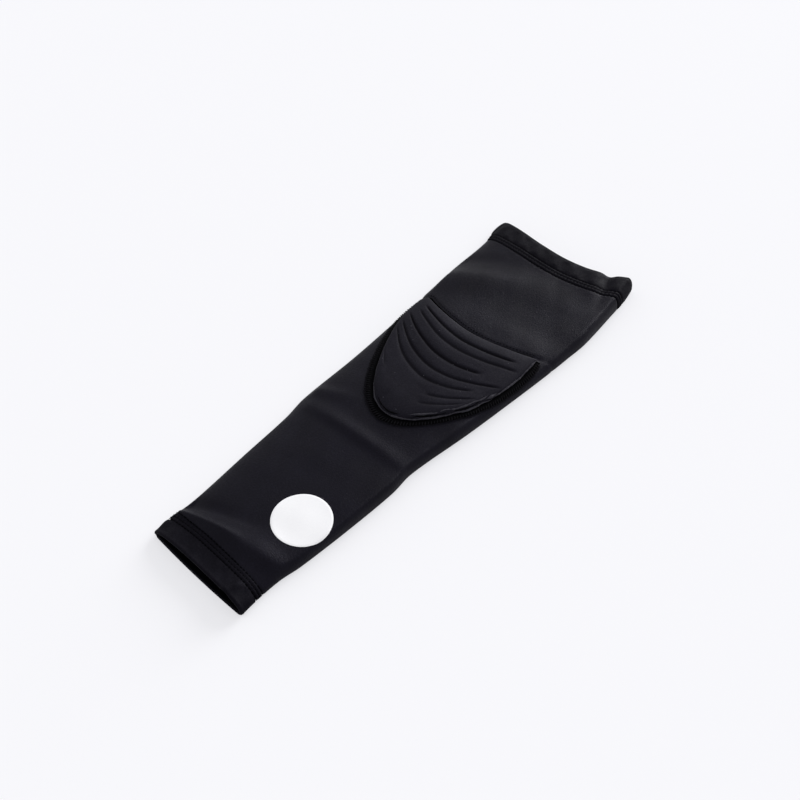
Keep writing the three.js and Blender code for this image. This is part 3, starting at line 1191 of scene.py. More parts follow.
def stitch_tree() -> bpy.types.NodeTree:
    """Geometry Nodes tree that sews stitches along a line of points with outward directions.

    Returns:
        The tree, with the stitches' pitch, length, thickness, turn and finish as inputs.
    """
    tree = bpy.data.node_groups.new("stitches_along_line", "GeometryNodeTree")
    for name, kind in (
        ("Line", "NodeSocketGeometry"),
        ("Pitch", "NodeSocketFloat"),
        ("Length", "NodeSocketFloat"),
        ("Thickness", "NodeSocketFloat"),
        ("Turn", "NodeSocketFloat"),
        ("Sway", "NodeSocketFloat"),
        ("Shortest", "NodeSocketFloat"),
        ("Longest", "NodeSocketFloat"),
        ("Finish", "NodeSocketMaterial"),
    ):
        tree.interface.new_socket(name, in_out="INPUT", socket_type=kind)
    tree.interface.new_socket("Stitches", in_out="OUTPUT", socket_type="NodeSocketGeometry")
    given = add_node(tree, "NodeGroupInput").outputs
    curve = add_node(tree, "GeometryNodeMeshToCurve", {"Mesh": given["Line"]})
    spaced = add_node(
        tree,
        "GeometryNodeResampleCurve",
        {"Curve": curve.outputs[0], "Length": given["Pitch"]},
        mode="LENGTH",
    )
    outward = add_node(tree, "GeometryNodeInputNamedAttribute", {"Name": "outward"}, data_type="FLOAT_VECTOR")
    tangent = add_node(tree, "GeometryNodeInputTangent")
    facing = add_node(
        tree,
        "FunctionNodeAxesToRotation",
        {0: outward.outputs[0], 1: tangent.outputs[0]},
        primary_axis="Z",
        secondary_axis="X",
    )
    sizes = add_node(
        tree,
        "ShaderNodeCombineXYZ",
        {"X": given["Length"], "Y": given["Thickness"], "Z": given["Thickness"]},
    )
    grain = add_node(
        tree,
        "GeometryNodeMeshUVSphere",
        {"Segments": STITCH_SIDES, "Rings": STITCH_RINGS, "Radius": 0.5},
    )
    lying = add_node(
        tree,
        "GeometryNodeTransform",
        {"Geometry": grain.outputs[0], "Rotation": (0.0, math.pi / 2, 0.0)},
    )
    stitch = add_node(
        tree,
        "GeometryNodeTransform",
        {"Geometry": lying.outputs[0], "Scale": sizes.outputs[0]},
    )
    sway_back = add_node(tree, "ShaderNodeMath", {0: given["Sway"], 1: -1.0}, operation="MULTIPLY")
    sway = add_node(
        tree,
        "FunctionNodeRandomValue",
        {2: sway_back.outputs[0], 3: given["Sway"], "Seed": LEAN_SEED},
        data_type="FLOAT",
    )
    lean = add_node(tree, "ShaderNodeMath", {0: given["Turn"], 1: sway.outputs[1]}, operation="ADD")
    angles = add_node(tree, "ShaderNodeCombineXYZ", {"Z": lean.outputs[0]})
    turn = add_node(tree, "FunctionNodeEulerToRotation", {0: angles.outputs[0]})
    turned = add_node(
        tree,
        "FunctionNodeRotateRotation",
        {0: facing.outputs[0], 1: turn.outputs[0]},
        rotation_space="LOCAL",
    )
    least = add_node(tree, "ShaderNodeCombineXYZ", {"X": given["Shortest"], "Y": THINNEST, "Z": THINNEST})
    most = add_node(tree, "ShaderNodeCombineXYZ", {"X": given["Longest"], "Y": THICKEST, "Z": THICKEST})
    uneven = add_node(
        tree,
        "FunctionNodeRandomValue",
        {0: least.outputs[0], 1: most.outputs[0], "Seed": SIZE_SEED},
        data_type="FLOAT_VECTOR",
    )
    reach = add_node(tree, "GeometryNodeInputNamedAttribute", {"Name": "reach"}, data_type="FLOAT")
    share = add_node(tree, "ShaderNodeCombineXYZ", {"X": reach.outputs[0], "Y": 1.0, "Z": 1.0})
    scale = add_node(
        tree,
        "ShaderNodeVectorMath",
        {0: uneven.outputs[0], 1: share.outputs[0]},
        operation="MULTIPLY",
    )
    sewn = add_node(
        tree,
        "GeometryNodeInstanceOnPoints",
        {
            "Points": spaced.outputs[0],
            "Instance": stitch.outputs[0],
            "Rotation": turned.outputs[0],
            "Scale": scale.outputs[0],
        },
    )
    real = add_node(tree, "GeometryNodeRealizeInstances", {"Geometry": sewn.outputs[0]})
    dressed = add_node(
        tree,
        "GeometryNodeSetMaterial",
        {"Geometry": real.outputs[0], "Material": given["Finish"]},
    )
    add_node(tree, "NodeGroupOutput", {"Stitches": dressed.outputs[0]})
    return tree


@dataclass(frozen=True)
class StitchRow:
    """A row of stitches along lines of points on the cloth; reach scales each stitch's length."""

    name: str
    lines: tuple[tuple[Array, Array], ...]
    pitch: float
    length: float
    thickness: float
    turn: Turn = Turn.ALONG
    sway: float = 0.0
    shortest: float = 0.88
    longest: float = 1.06
    closed: bool = False
    reach: Array | None = None

    def line_object(self) -> bpy.types.Object:
        """Makes the lines as edges, each point with its outward direction and its reach.

        Returns:
            The linked object.
        """
        points = np.concatenate([line for line, _ in self.lines])
        outward = np.concatenate([normal for _, normal in self.lines])
        edges = []
        first = 0
        for line, _ in self.lines:
            last = first + len(line) - 1
            edges += [(k, k + 1) for k in range(first, last)]
            if self.closed:
                edges.append((last, first))
            first = last + 1
        mesh = bpy.data.meshes.new(self.name + "_line")
        mesh.from_pydata((points * MM).tolist(), edges, [])
        layer = mesh.attributes.new("outward", "FLOAT_VECTOR", "POINT")
        layer.data.foreach_set("vector", outward.astype(np.float32).ravel())
        reach = np.ones(len(points)) if self.reach is None else self.reach
        mesh.attributes.new("reach", "FLOAT", "POINT").data.foreach_set("value", reach.astype(np.float32))
        made = bpy.data.objects.new(self.name + "_line", mesh)
        bpy.context.scene.collection.objects.link(made)
        return made

    def build(self, tree: bpy.types.NodeTree, material: bpy.types.Material) -> bpy.types.Object:
        """Sews the row and turns it into a plain mesh.

        Args:
            tree: The stitch tree.
            material: The thread.

        Returns:
            The finished piece.
        """
        line = self.line_object()
        modifier = line.modifiers.new("stitches", "NODES")
        modifier.node_group = tree
        values = {
            "Pitch": self.pitch * MM,
            "Length": self.length * MM,
            "Thickness": self.thickness * MM,
            "Turn": math.radians(self.turn.value),
            "Sway": math.radians(self.sway),
            "Shortest": self.shortest,
            "Longest": self.longest,
            "Finish": material,
        }
        for item in tree.interface.items_tree:
            if item.in_out == "INPUT" and item.name in values:
                modifier[item.identifier] = values[item.name]
        evaluated = line.evaluated_get(bpy.context.evaluated_depsgraph_get())
        mesh = bpy.data.meshes.new_from_object(evaluated)
        mesh.name = self.name
        mesh.polygons.foreach_set("use_smooth", np.ones(len(mesh.polygons), bool))
        line.modifiers.clear()
        bpy.data.objects.remove(line)
        piece = bpy.data.objects.new(self.name, mesh)
        bpy.context.scene.collection.objects.link(piece)
        return attach(piece, Slot.THREAD)


@dataclass(frozen=True)
class Sleeve:
    """The knit tube: two panels, two turned hems, and the stitches that hold them."""

    form: SleeveForm
    plan: PadPlan
    wrist_hem: Coverstitch = Coverstitch(rows=(11.7, 14.2, 16.7), bead=0.3)
    upper_hem: Coverstitch = Coverstitch(rows=(18.0, 20.9, 23.8), bead=-0.3)
    seam: PanelSeam = PanelSeam()
    knit_wall: float = 1.0
    hem_wall: float = 2.0
    stitch_pitch: float = 2.8
    stitch_length: float = 2.3
    thread: float = 0.55
    # Columns of a hem's stitch row, over the top and underneath, and half the span it is measured over
    row_columns: tuple[int, int] = (120, 60)
    row_probe: float = 0.5
    # The panels' seam: the stretch of the width that it is sewn over, its cord and its stitches
    seam_stretch: tuple[float, float] = (0.115, 0.93)
    seam_points: int = 150
    seam_stitch_pitch: float = 2.4
    seam_stitch_length: float = 1.7
    seam_thread: float = 0.44
    seam_cord: float = 1.2
    seam_cord_overlap: float = 1.3
    seam_cord_sunk: float = 0.45

    def relief(self, x: Array, v: Array, on_top: Array, around: Array) -> Array:
        """Height of the sewn cloth over its smooth face.

        Args:
            x: Places along the sleeve.
            v: Shares of the width.
            on_top: Whether each point is on the top layer.
            around: Distances round the sleeve.

        Returns:
            Heights.
        """
        from_wrist = WRIST_MOUTH.depth(x, v, on_top)
        from_top = UPPER_MOUTH.depth(x, v, on_top)
        from_seam = x - self.plan.seam(self.form, 0)(v, on_top)
        hems = self.wrist_hem.relief(from_wrist, around, v) + self.upper_hem.relief(from_top, around, v)
        past = self.plan.rows[0].y_right - self.form.wall(x, v, on_top)[..., 1]
        return hems + self.seam.relief(from_seam, np.where(on_top, past, self.seam.flat_reach))

    def tubes(self) -> list[KnitTube]:
        """The four tubes of cloth.

        Returns:
            The tubes, from the wrist up.
        """
        common = {"form": self.form, "relief": self.relief}
        panel = {"slot": Slot.KNIT, "wall": self.knit_wall, "row_length": 1.3, **common}
        hem = {"slot": Slot.HEM, "wall": self.hem_wall, "row_length": 0.55, **common}
        wrist_row = WRIST_MOUTH.line(self.wrist_hem.far)
        upper_row = UPPER_MOUTH.line(self.upper_hem.far)
        seam = self.plan.seam(self.form, 0)
        return [
            KnitTube(
                name="wrist_hem_cloth", node="wrist_hem", start=WRIST_MOUTH.line(0), end=wrist_row,
                top_columns=150, under_columns=70, round_start=True, **hem,
            ),
            KnitTube(
                name="forearm_cloth", node="forearm_panel", start=wrist_row, end=seam,
                top_columns=90, under_columns=44, **panel,
            ),
            KnitTube(
                name="upper_arm_cloth", node="upper_arm_panel", start=seam, end=upper_row,
                top_columns=90, under_columns=44, **panel,
            ),
            KnitTube(
                name="upper_hem_cloth", node="upper_hem", start=upper_row, end=UPPER_MOUTH.line(0),
                top_columns=190, under_columns=80, round_end=True, **hem,
            ),
        ]

    def ring(self, line: Callable[[float], Line], distance: float, depth: float) -> tuple[Array, Array]:
        """Points and outward directions once round the sleeve, in the groove of a stitch row.

        Args:
            line: Gives a line round the sleeve at a distance.
            distance: The distance.
            depth: Depth of the groove.

        Returns:
            Points and directions.
        """
        v, on_top = once_round(*self.row_columns)
        ways = [line(distance + step)(v, on_top) for step in (-self.row_probe, 0, self.row_probe)]
        rings = np.stack([self.form.wall(x, v, on_top) for x in sorted(ways, key=np.mean)])
        normals = loop_normals(rings)[1]
        sunk = np.where(on_top, depth - self.thread / 2, self.thread)
        return rings[1] - normals * sunk[:, None], normals

    def seam_row(self, distance: float, sunk: float) -> tuple[Array, Array]:
        """A row along the pad's top edge, on to the right fold, with its outward directions.

        Args:
            distance: Distance of the row from the seam, towards the upper arm.
            sunk: Depth of the row's middle under the cloth's smooth face.

        Returns:
            Points and directions.
        """
        v = np.linspace(*self.seam_stretch, self.seam_points)
        on_top = np.ones(len(v), bool)
        points = self.form.wall(self.plan.seam(self.form, distance)(v, on_top), v, on_top)
        normals = self.form.normal(points[:, 0], points[:, 1])
        return points - normals * sunk, normals

    def build(
        self,
        tree: bpy.types.NodeTree,
        cloths: Mapping[Slot, bpy.types.Material],
        lining: bpy.types.Material,
        thread: bpy.types.Material,
    ) -> None:
        """Makes the cloth and its stitches.

        Args:
            tree: The stitch tree.
            cloths: The panels' and the hems' cloth.
            lining: The cloths' inner side, painted almost black as the shade inside the tube.
            thread: The sewing thread.
        """
        for tube in self.tubes():
            piece = tube.build(cloths[tube.slot], lining)
            width, length, area = tube.cut()
        for name, mouth, hem in (
            ("wrist_hem_stitches", WRIST_MOUTH, self.wrist_hem),
            ("upper_hem_stitches", UPPER_MOUTH, self.upper_hem),
        ):
            lines = tuple(self.ring(mouth.line, r, d) for r, d in zip(hem.rows, hem.depths))
            StitchRow(
                name=name, lines=lines, pitch=self.stitch_pitch, length=self.stitch_length,
                thickness=self.thread, closed=True,
            ).build(tree, thread)
        cord = self.seam_row(self.seam.furrow_offset, self.seam.furrow_depth * self.seam_cord_sunk)
        StitchRow(
            name="panel_seam_cord", lines=(cord,), pitch=self.seam_stitch_pitch,
            length=self.seam_stitch_pitch * self.seam_cord_overlap, thickness=self.seam_cord,
        ).build(tree, thread)
        row = self.seam_row(self.seam.row_offset, self.seam.row_depth - self.thread / 2)
        StitchRow(
            name="panel_seam_stitches", lines=(row,), pitch=self.seam_stitch_pitch,
            length=self.seam_stitch_length, thickness=self.seam_thread,
        ).build(tree, thread)


@dataclass(frozen=True)
class CoverSettling:
    """The foam's push on the pad's cover, settled as cloth held along its rim and grooves."""

    frames: int = 14
    pressure: float = 8.0
    knot_mass: float = 0.001
    stiffness: float = 6.0
    bending: float = 0.02
    air_damping: float = 2.0
    quality: int = 6
    limit: float = 0.9

    def run(self, points: Array, faces: list[list[int]], held: Array) -> Array:
        """Lets the cover settle.

        Args:
            points: The cover's points in millimetres.
            faces: Its faces.
            held: Numbers of the points that don't move.

        Returns:
            The settled points, none of them farther than the limit from where it was.
        """
        mesh = bpy.data.meshes.new("settling_cover")
        mesh.from_pydata((points * MM).tolist(), [], faces)
        sheet = bpy.data.objects.new("settling_cover", mesh)
        scene = bpy.context.scene
        scene.collection.objects.link(sheet)
        sheet.vertex_groups.new(name="held").add(held.tolist(), 1.0, "REPLACE")
        cloth = sheet.modifiers.new("cover", "CLOTH")
        settings = cloth.settings
        settings.quality = self.quality
        settings.mass = self.knot_mass
        settings.tension_stiffness = self.stiffness
        settings.compression_stiffness = self.stiffness
        settings.shear_stiffness = self.stiffness
        settings.bending_stiffness = self.bending
        settings.air_damping = self.air_damping
        settings.use_pressure = True
        settings.uniform_pressure_force = self.pressure
        settings.vertex_group_mass = "held"
        settings.effector_weights.gravity = 0.0
        cloth.collision_settings.use_collision = False
        cloth.collision_settings.use_self_collision = False
        cloth.point_cache.frame_start = 1
        cloth.point_cache.frame_end = self.frames
        for number in range(1, self.frames + 1):
            scene.frame_set(number)
        evaluated = sheet.evaluated_get(bpy.context.evaluated_depsgraph_get())
        settled = np.empty(len(points) * 3, np.float32)
        evaluated.data.vertices.foreach_get("co", settled)
        bpy.data.objects.remove(sheet)
        scene.frame_set(1)
        move = settled.reshape(-1, 3) / MM - points
        size = np.linalg.norm(move, axis=1, keepdims=True)
        LOG.info("cover settled by %.2f mm at most, %.2f mm on average", size.max(), size.mean())
        return points + move * np.minimum(1, self.limit / np.maximum(size, TINY))


@dataclass(frozen=True)
class ElbowPad:
    """The moulded foam pad: a low dome with grooves under a settled cover, and a short round wall."""

    form: SleeveForm
    plan: PadPlan
    settling: CoverSettling = CoverSettling()
    grooves: tuple[Groove, ...] = GROOVES
    thickness: float = 5.2
    wall_height: float = 2.2
    seam_wall_height: float = 2.4
    crown_reach: float = 12.0
    clearance: float = 0.2
    groove_depth: float = 1.1
    groove_width: float = 1.25
    # Share of the pad's width that a groove fades out over, and the depth's share where it is held
    groove_end: float = 0.07
    groove_held: float = 0.3
    seam_reach: float = 20.0
    wall_bulge: float = 0.5
    wall_levels: tuple[float, ...] = (0.25, 0.5, 0.75)
    columns: int = 96
    rows_per_groove: int = 10
    sharp_angle: float = 65.0

    def shares(self) -> tuple[Array, Array]:
        """Shares of the grid's lines.

        Returns:
            The columns' shares from left to right, and the rows' from the top edge to the tip.
        """
        rows = sorted({g.row for g in self.grooves})
        step = (rows[1] - rows[0]) / self.rows_per_groove
        lead = np.linspace(0, rows[0], round(rows[0] / step) + 1)[:-1]
        body = np.linspace(rows[0], rows[-1], (len(rows) - 1) * self.rows_per_groove + 1)
        tail = np.linspace(rows[-1], 1, round((1 - rows[-1]) / step) + 1)[1:]
        return crowded(self.columns, TOP_CROWDING)[::-1], np.concatenate([lead, body, tail])

    def groove(self, u: Array, w: Array) -> Array:
        """Depth of the grooves at places on the pad.

        Args:
            u: Shares of the width.
            w: Shares of the length.

        Returns:
            Shares of the groove's depth.
        """
        depth = np.zeros(np.broadcast(u, w).shape)
        for g in self.grooves:
            ends = smooth((u - g.start) / self.groove_end) * smooth((g.end - u) / self.groove_end)
            line = bell((w - g.row) * self.plan.length, self.groove_width)
            depth = np.maximum(depth, g.depth * ends * line)
        return depth

    def height(self, u: Array, w: Array) -> Array:
        """Thickness of the pad at places on it.

        Args:
            u: Shares of the width.
            w: Shares of the length.

        Returns:
            Thicknesses.
        """
        width, length, reach = self.plan.width, self.plan.length, self.crown_reach
        dome = shoulder(u * width / reach) * shoulder((1 - u) * width / reach)
        dome = dome * shoulder(w * length / self.seam_reach) * shoulder((1 - w) * length / reach)
        wall = self.seam_wall_height + (self.wall_height - self.seam_wall_height) * smooth(w * length / reach)
        return wall + (self.thickness - wall) * dome - self.groove_depth * self.groove(u, w)

    def edge_height(self, inset: Array) -> Array:
        """Height of the pad's face over the cloth near its sides and tip.

        Args:
            inset: Distances inside the outline, negative outside it.

        Returns:
            Heights, of the wall's top where outside.
        """
        dome = shoulder(np.maximum(inset, 0) / self.crown_reach)
        return self.clearance + self.wall_height + (self.thickness - self.wall_height) * dome

    def rim(self, rows: int, columns: int) -> Array:
        """Points round the grid's edge, from the top left corner and on past the right side.

        Args:
            rows: Number of the grid's rows.
            columns: Number of points in a row.

        Returns:
            The points' numbers.
        """
        count = rows * columns
        return np.concatenate([
            np.arange(columns - 1),
            np.arange(rows - 1) * columns + columns - 1,
            count - 1 - np.arange(columns - 1),
            count - columns - np.arange(rows - 1) * columns,
        ])

    def build(self, material: bpy.types.Material) -> bpy.types.Object:
        """Makes the pad.

        Args:
            material: Its cover.

        Returns:
            The finished piece.
        """
        us, ws = self.shares()
        w, u = np.meshgrid(ws, us, indexing="ij")
        place = self.plan.at(u, w)
        base = self.form.face(place[..., 0], place[..., 1])
        normal = self.form.normal(place[..., 0], place[..., 1])
        top = (base + normal * (self.clearance + self.height(u, w))[..., None]).reshape(-1, 3)
        under = (base + normal * self.clearance).reshape(-1, 3)
        rows, columns = u.shape
        faces, _ = grid_faces(rows, columns, False, False)
        rim = self.rim(rows, columns)
        pressed_in = np.flatnonzero(self.groove(u, w).ravel() > self.groove_held)
        held = np.union1d(rim, pressed_in)
        top = self.settling.run(top, faces.tolist(), held)
        ahead = np.roll(top[rim], -1, axis=0) - np.roll(top[rim], 1, axis=0)
        outward = unit(np.cross(normal.reshape(-1, 3)[rim], ahead))
        levels = [rim]
        points = [top, under]
        count = len(top)
        for share in self.wall_levels:
            bulge = outward * self.wall_bulge * math.sin(math.pi * share)
            levels.append(sum(len(p) for p in points) + np.arange(len(rim)))
            points.append(top[rim] * (1 - share) + under[rim] * share + bulge)
        levels.append(rim + count)
        walls = [
            np.stack([upper, np.roll(upper, -1), np.roll(lower, -1), lower], -1)
            for upper, lower in zip(levels[:-1], levels[1:])
        ]
        all_faces = np.concatenate([faces, faces[:, ::-1] + count, *walls])
        flat = place.reshape(-1, 2)
        flat = np.concatenate([flat, flat, *[flat[rim] for _ in self.wall_levels]])
        piece = new_piece(
            "elbow_pad_cover", np.concatenate(points), all_faces.tolist(), material, flat[all_faces],
            sharp_angle=self.sharp_angle,
        )
        # Each point's groove share, which the cover's material turns into painted shade in the grooves
        painted_groove_shade = np.zeros(len(piece.data.vertices), np.float32)
        painted_groove_shade[:count] = self.groove(u, w).ravel()
        piece.data.attributes.new("painted_groove_shade", "FLOAT", "POINT").data.foreach_set("value", painted_groove_shade)
        attach(piece, Slot.PAD, "elbow_pad")
        return piece


@dataclass(frozen=True)
class SeamBand:
    """The flat seam round the pad's sides and tip: a raised band wrapped in slanting threads."""

    form: SleeveForm
    plan: PadPlan
    offset: float = 0.3
    # Widths along the outline, from the pad's top right corner round to its top left one
    width_shares: tuple[float, ...] = (0.0, 0.04, 0.2, 0.33, 0.42, 0.5, 0.6, 0.72, 0.85, 1.0)
    widths: tuple[float, ...] = (3.6, 5.8, 5.6, 4.6, 4.8, 7.0, 7.0, 6.4, 5.4, 2.6)
    foot: float = 0.15
    edge_height: float = 0.5
    crown: float = 0.7
    steps: int = 70
    columns: int = 8
    core_share: float = 0.8
    rib_pitch: float = 2.0
    rib_thickness: float = 0.8
    rib_sunk: float = 0.3
    rib_share: float = 0.72
    rib_middle: float = 0.62
    fringe_pitch: float = 0.8
    fringe_length: float = 2.2
    fringe_thickness: float = 0.3
    fringe_middle: float = 0.92

    def width(self) -> Array:
        """Band widths at every point of the outline."""
        share = np.linspace(0, 1, 3 * self.steps + 1)
        return np.interp(share, self.width_shares, self.widths)

    def strip(self, share: float) -> tuple[Array, Array]:
        """Cloth points and outward directions of a line along the band.

        Args:
            share: Share of the band's width, from the pad outwards.

        Returns:
            Points and directions.
        """
        path, outwards = self.plan.outline(self.steps)
        place = self.form.walk(path, outwards, self.offset + share * self.width())
        return self.form.face(place[:, 0], place[:, 1]), self.form.normal(place[:, 0], place[:, 1])

    def build(
        self, tree: bpy.types.NodeTree, material: bpy.types.Material, wrapping: bpy.types.Material
    ) -> None:
        """Makes the band and the threads that wrap it.

        Args:
            tree: The stitch tree.
            material: The band's own thread.
            wrapping: The looser thread that wraps it.
        """
        shares = crowded(self.columns)
        lines = [self.strip(float(share) * self.core_share) for share in shares]
        base = np.stack([points for points, _ in lines], 1)
        normal = np.stack([normals for _, normals in lines], 1)
        rise = self.edge_height + self.crown * np.sin(math.pi * shares)
        top = base + normal * rise[None, :, None]
        under = base + normal * self.foot
        piece = swept_piece("pad_seam_band", np.concatenate([top, under[:, ::-1]], 1), material)
        attach(piece, Slot.THREAD, "pad_seam")
        points, normals = self.strip(self.rib_middle)
        lift = self.edge_height + self.crown - self.rib_thickness * self.rib_sunk
        width = self.width()
        widest = float(width.max())
        StitchRow(
            name="pad_seam_threads", lines=((points + normals * lift, normals),), pitch=self.rib_pitch,
            length=widest * self.rib_share, thickness=self.rib_thickness, turn=Turn.SLANTED, sway=7.0,
            shortest=0.8, longest=1.15, reach=width / widest,
        ).build(tree, wrapping)
        points, normals = self.strip(self.fringe_middle)
        StitchRow(
            name="pad_seam_fringe", lines=((points + normals * self.edge_height, normals),),
            pitch=self.fringe_pitch, length=self.fringe_length, thickness=self.fringe_thickness,
            turn=Turn.SLANTED, sway=38.0, shortest=0.5, longest=1.3,
        ).build(tree, wrapping)


@dataclass(frozen=True)
class LipRun:
    """A stretch of the pad's rolled edge, by shares of the outline.

    It lies outset from the outline, and its middle stands proud of the pad's face there.
    Some stretches are strands of black thread laid along the gap beside the edge: painted shadow for that
    gap.
    """

    start: float
    end: float
    outset: float
    proud: float
    radius: float
    wobble: float
    painted_gap_shade: bool = False


LIP_RUNS = (
    LipRun(start=0.0, end=0.225, outset=0.1, proud=0.4, radius=0.55, wobble=0.12),
    LipRun(start=0.195, end=0.25, outset=-0.3, proud=0.4, radius=0.85, wobble=0.15),
    LipRun(start=0.23, end=0.44, outset=-1.6, proud=0.4, radius=0.55, wobble=0.25),
    LipRun(start=0.25, end=0.44, outset=-0.6, proud=0.1, radius=0.45, wobble=0.15, painted_gap_shade=True),
    LipRun(start=0.22, end=0.5, outset=0.6, proud=-0.2, radius=0.55, wobble=0.2),
    LipRun(start=0.46, end=0.57, outset=-1.0, proud=0.1, radius=0.5, wobble=0.12, painted_gap_shade=True),
    LipRun(start=0.44, end=0.63, outset=0.5, proud=-0.3, radius=0.42, wobble=0.16),
    LipRun(start=0.61, end=0.98, outset=0.0, proud=0.0, radius=0.26, wobble=0.04),
)


@dataclass(frozen=True)
class PadLip:
    """The pad's thin rolled edge: fused cover and foam that curls up unevenly beside the band."""

    pad: ElbowPad
    runs: tuple[LipRun, ...] = LIP_RUNS
    sides: int = 10
    steps: int = 240
    tip_radius: float = 0.04
    taper: float = 0.03
    # Each unevenness of the edge is a reach along it, and a share where it isn't a whole one
    sway_reach: float = 3.1
    short_sway_reach: float = 1.7
    short_sway: float = 0.6
    curl_reach: float = 2.3
    curl: float = 0.5
    swell_reach: float = 4.3
    swell: float = 0.3
    crumb_reaches: tuple[float, float, float] = (0.83, 2.9, 0.47)
    fine_crumb: float = 0.5
    crumb: float = 0.2

    def thickness(self, run: LipRun, number: int, along: Array) -> Array:
        """Radius of a stretch, with its swells and crumbs.

        Args:
            run: The stretch.
            number: Its number, which shifts its waves.
            along: Distances along the outline.

        Returns:
            Radii.
        """
        coarse, broad, fine = self.crumb_reaches
        crumbs = np.sin(along / coarse + number) * np.sin(along / broad)
        crumbs = crumbs + self.fine_crumb * np.sin(along / fine)
        swell = self.swell * np.sin(along / self.swell_reach + number)
        return run.radius * (1 + swell + self.crumb * crumbs)

    def build(self, material: bpy.types.Material, thread: bpy.types.Material) -> None:
        """Makes every stretch of the edge.

        Args:
            material: The fused edge.
            thread: The black thread of the strands that paint the shadow in the gaps beside the edge.
        """
        form = self.pad.form
        path, outwards = self.pad.plan.outline(self.steps)
        shares = np.linspace(0, 1, len(path))
        reach = np.concatenate([[0], np.cumsum(np.linalg.norm(np.diff(path, axis=0), axis=1))])
        angle = np.linspace(0, 2 * math.pi, self.sides, endpoint=False)[None, :, None]
        for number, run in enumerate(self.runs, 1):
            inside = (shares >= run.start) & (shares <= run.end)
            along, share, way = reach[inside], shares[inside], outwards[inside]
            wave = np.sin(along / self.sway_reach + number)
            wave = wave + self.short_sway * np.sin(along / self.short_sway_reach + 2 * number)
            outset = run.outset + run.wobble * wave
            place = path[inside] + way * outset[:, None]
            base = form.face(place[:, 0], place[:, 1])
            up = form.normal(place[:, 0], place[:, 1])
            side = np.concatenate([way, np.zeros((len(way), 1))], 1)
            side = unit(side - up * (side * up).sum(1, keepdims=True))
            curl = self.curl * run.wobble * np.sin(along / self.curl_reach - number)
            rise = self.pad.edge_height(-outset) + run.proud + curl
            taper = smooth((share - run.start) / self.taper) * smooth((run.end - share) / self.taper)
            radius = self.tip_radius + taper * self.thickness(run, number, along)
            centre = (base + up * rise[:, None])[:, None]
            ring = np.cos(angle) * side[:, None] + np.sin(angle) * up[:, None]
            rings = (centre + radius[:, None, None] * ring)[:, ::-1]
            # Painted shadow: the gap stretches take the black thread instead of the edge's finish
            piece = swept_piece(f"pad_lip_{number}", rings, thread if run.painted_gap_shade else material)
            attach(piece, Slot.THREAD if run.painted_gap_shade else Slot.PAD)


@dataclass(frozen=True)
class PrintDot:
    """The plain round print near the wrist: a thin film that follows the cloth."""

    form: SleeveForm
    x: float = -124.9
    y: float = -21.8
    radius: float = 19.3
    film: float = 0.25
    film_edge: float = 0.075
    sink: float = 0.15
    rings: int = 24
    spokes: int = 120

    def build(self, material: bpy.types.Material) -> bpy.types.Object:
        """Makes the print.

        Args:
            material: The film.

        Returns:
            The finished piece.
        """
        angle = np.linspace(0, 2 * math.pi, self.spokes, endpoint=False)[None]
        reach = self.radius * np.linspace(0, 1, self.rings + 1)[1:, None]
        place = np.stack([self.x + reach * np.cos(angle), np.full((self.rings, self.spokes), self.y)], -1)
        place = self.form.walk(place, np.array([0.0, 1.0]), reach * np.sin(angle))
        base = self.form.face(place[..., 0], place[..., 1])
        normal = self.form.normal(place[..., 0], place[..., 1])
        edge = np.full(self.rings, self.film)
        edge[-1] = self.film_edge
        top = base + normal * edge[:, None, None]
        under = base - normal * self.sink
        shell = np.concatenate([top, under[::-1]])
        faces, _ = grid_faces(len(shell), self.spokes, False, True)
        centre = np.array([[self.x, self.y]])
        middle = self.form.face(centre[:, 0], centre[:, 1])
        up = self.form.normal(centre[:, 0], centre[:, 1])
        points = np.concatenate([shell.reshape(-1, 3), middle + up * self.film, middle - up * self.sink])
        count = len(shell) * self.spokes
        spoke = np.arange(self.spokes)
        after = np.roll(spoke, -1)
        top_fan = np.stack([np.full(self.spokes, count), spoke, after], -1)
        last = count - self.spokes
        under_fan = np.stack([np.full(self.spokes, count + 1), last + after, last + spoke], -1)
        polygons = faces.tolist() + top_fan.tolist() + under_fan.tolist()
        piece = new_piece("print_film", points, polygons, material)
        return attach(piece, Slot.PRINT, "print_dot")


def towards(azimuth: float, elevation: float) -> Vector:
    """Direction from the sleeve to something round it.

    Args:
        azimuth: Degrees round from -Y, towards +X.
        elevation: Degrees up from the table.

    Returns:
        A vector of length 1.
    """
    a, e = math.radians(azimuth), math.radians(elevation)
    return Vector((math.sin(a) * math.cos(e), -math.cos(a) * math.cos(e), math.sin(e)))


@dataclass(frozen=True)
class Softbox:
    """A large diffused lamp, far enough away to light the whole table top evenly."""

    name: str
    azimuth: float
    elevation: float
    spread: float
    strength: float
    # Metres from the sleeve
    away: float = 2.0

    def hang(self) -> None:
        """Adds the lamp to the scene."""
        side = towards(self.azimuth, self.elevation)
        lamp = bpy.data.lights.new(self.name, "SUN")
        lamp.angle = math.radians(self.spread)
        lamp.energy = self.strength
        box = bpy.data.objects.new(self.name, lamp)
        box.location = side * self.away
        box.rotation_mode = "QUATERNION"
        box.rotation_quaternion = side.to_track_quat("Z", "Y")
        bpy.context.scene.collection.objects.link(box)


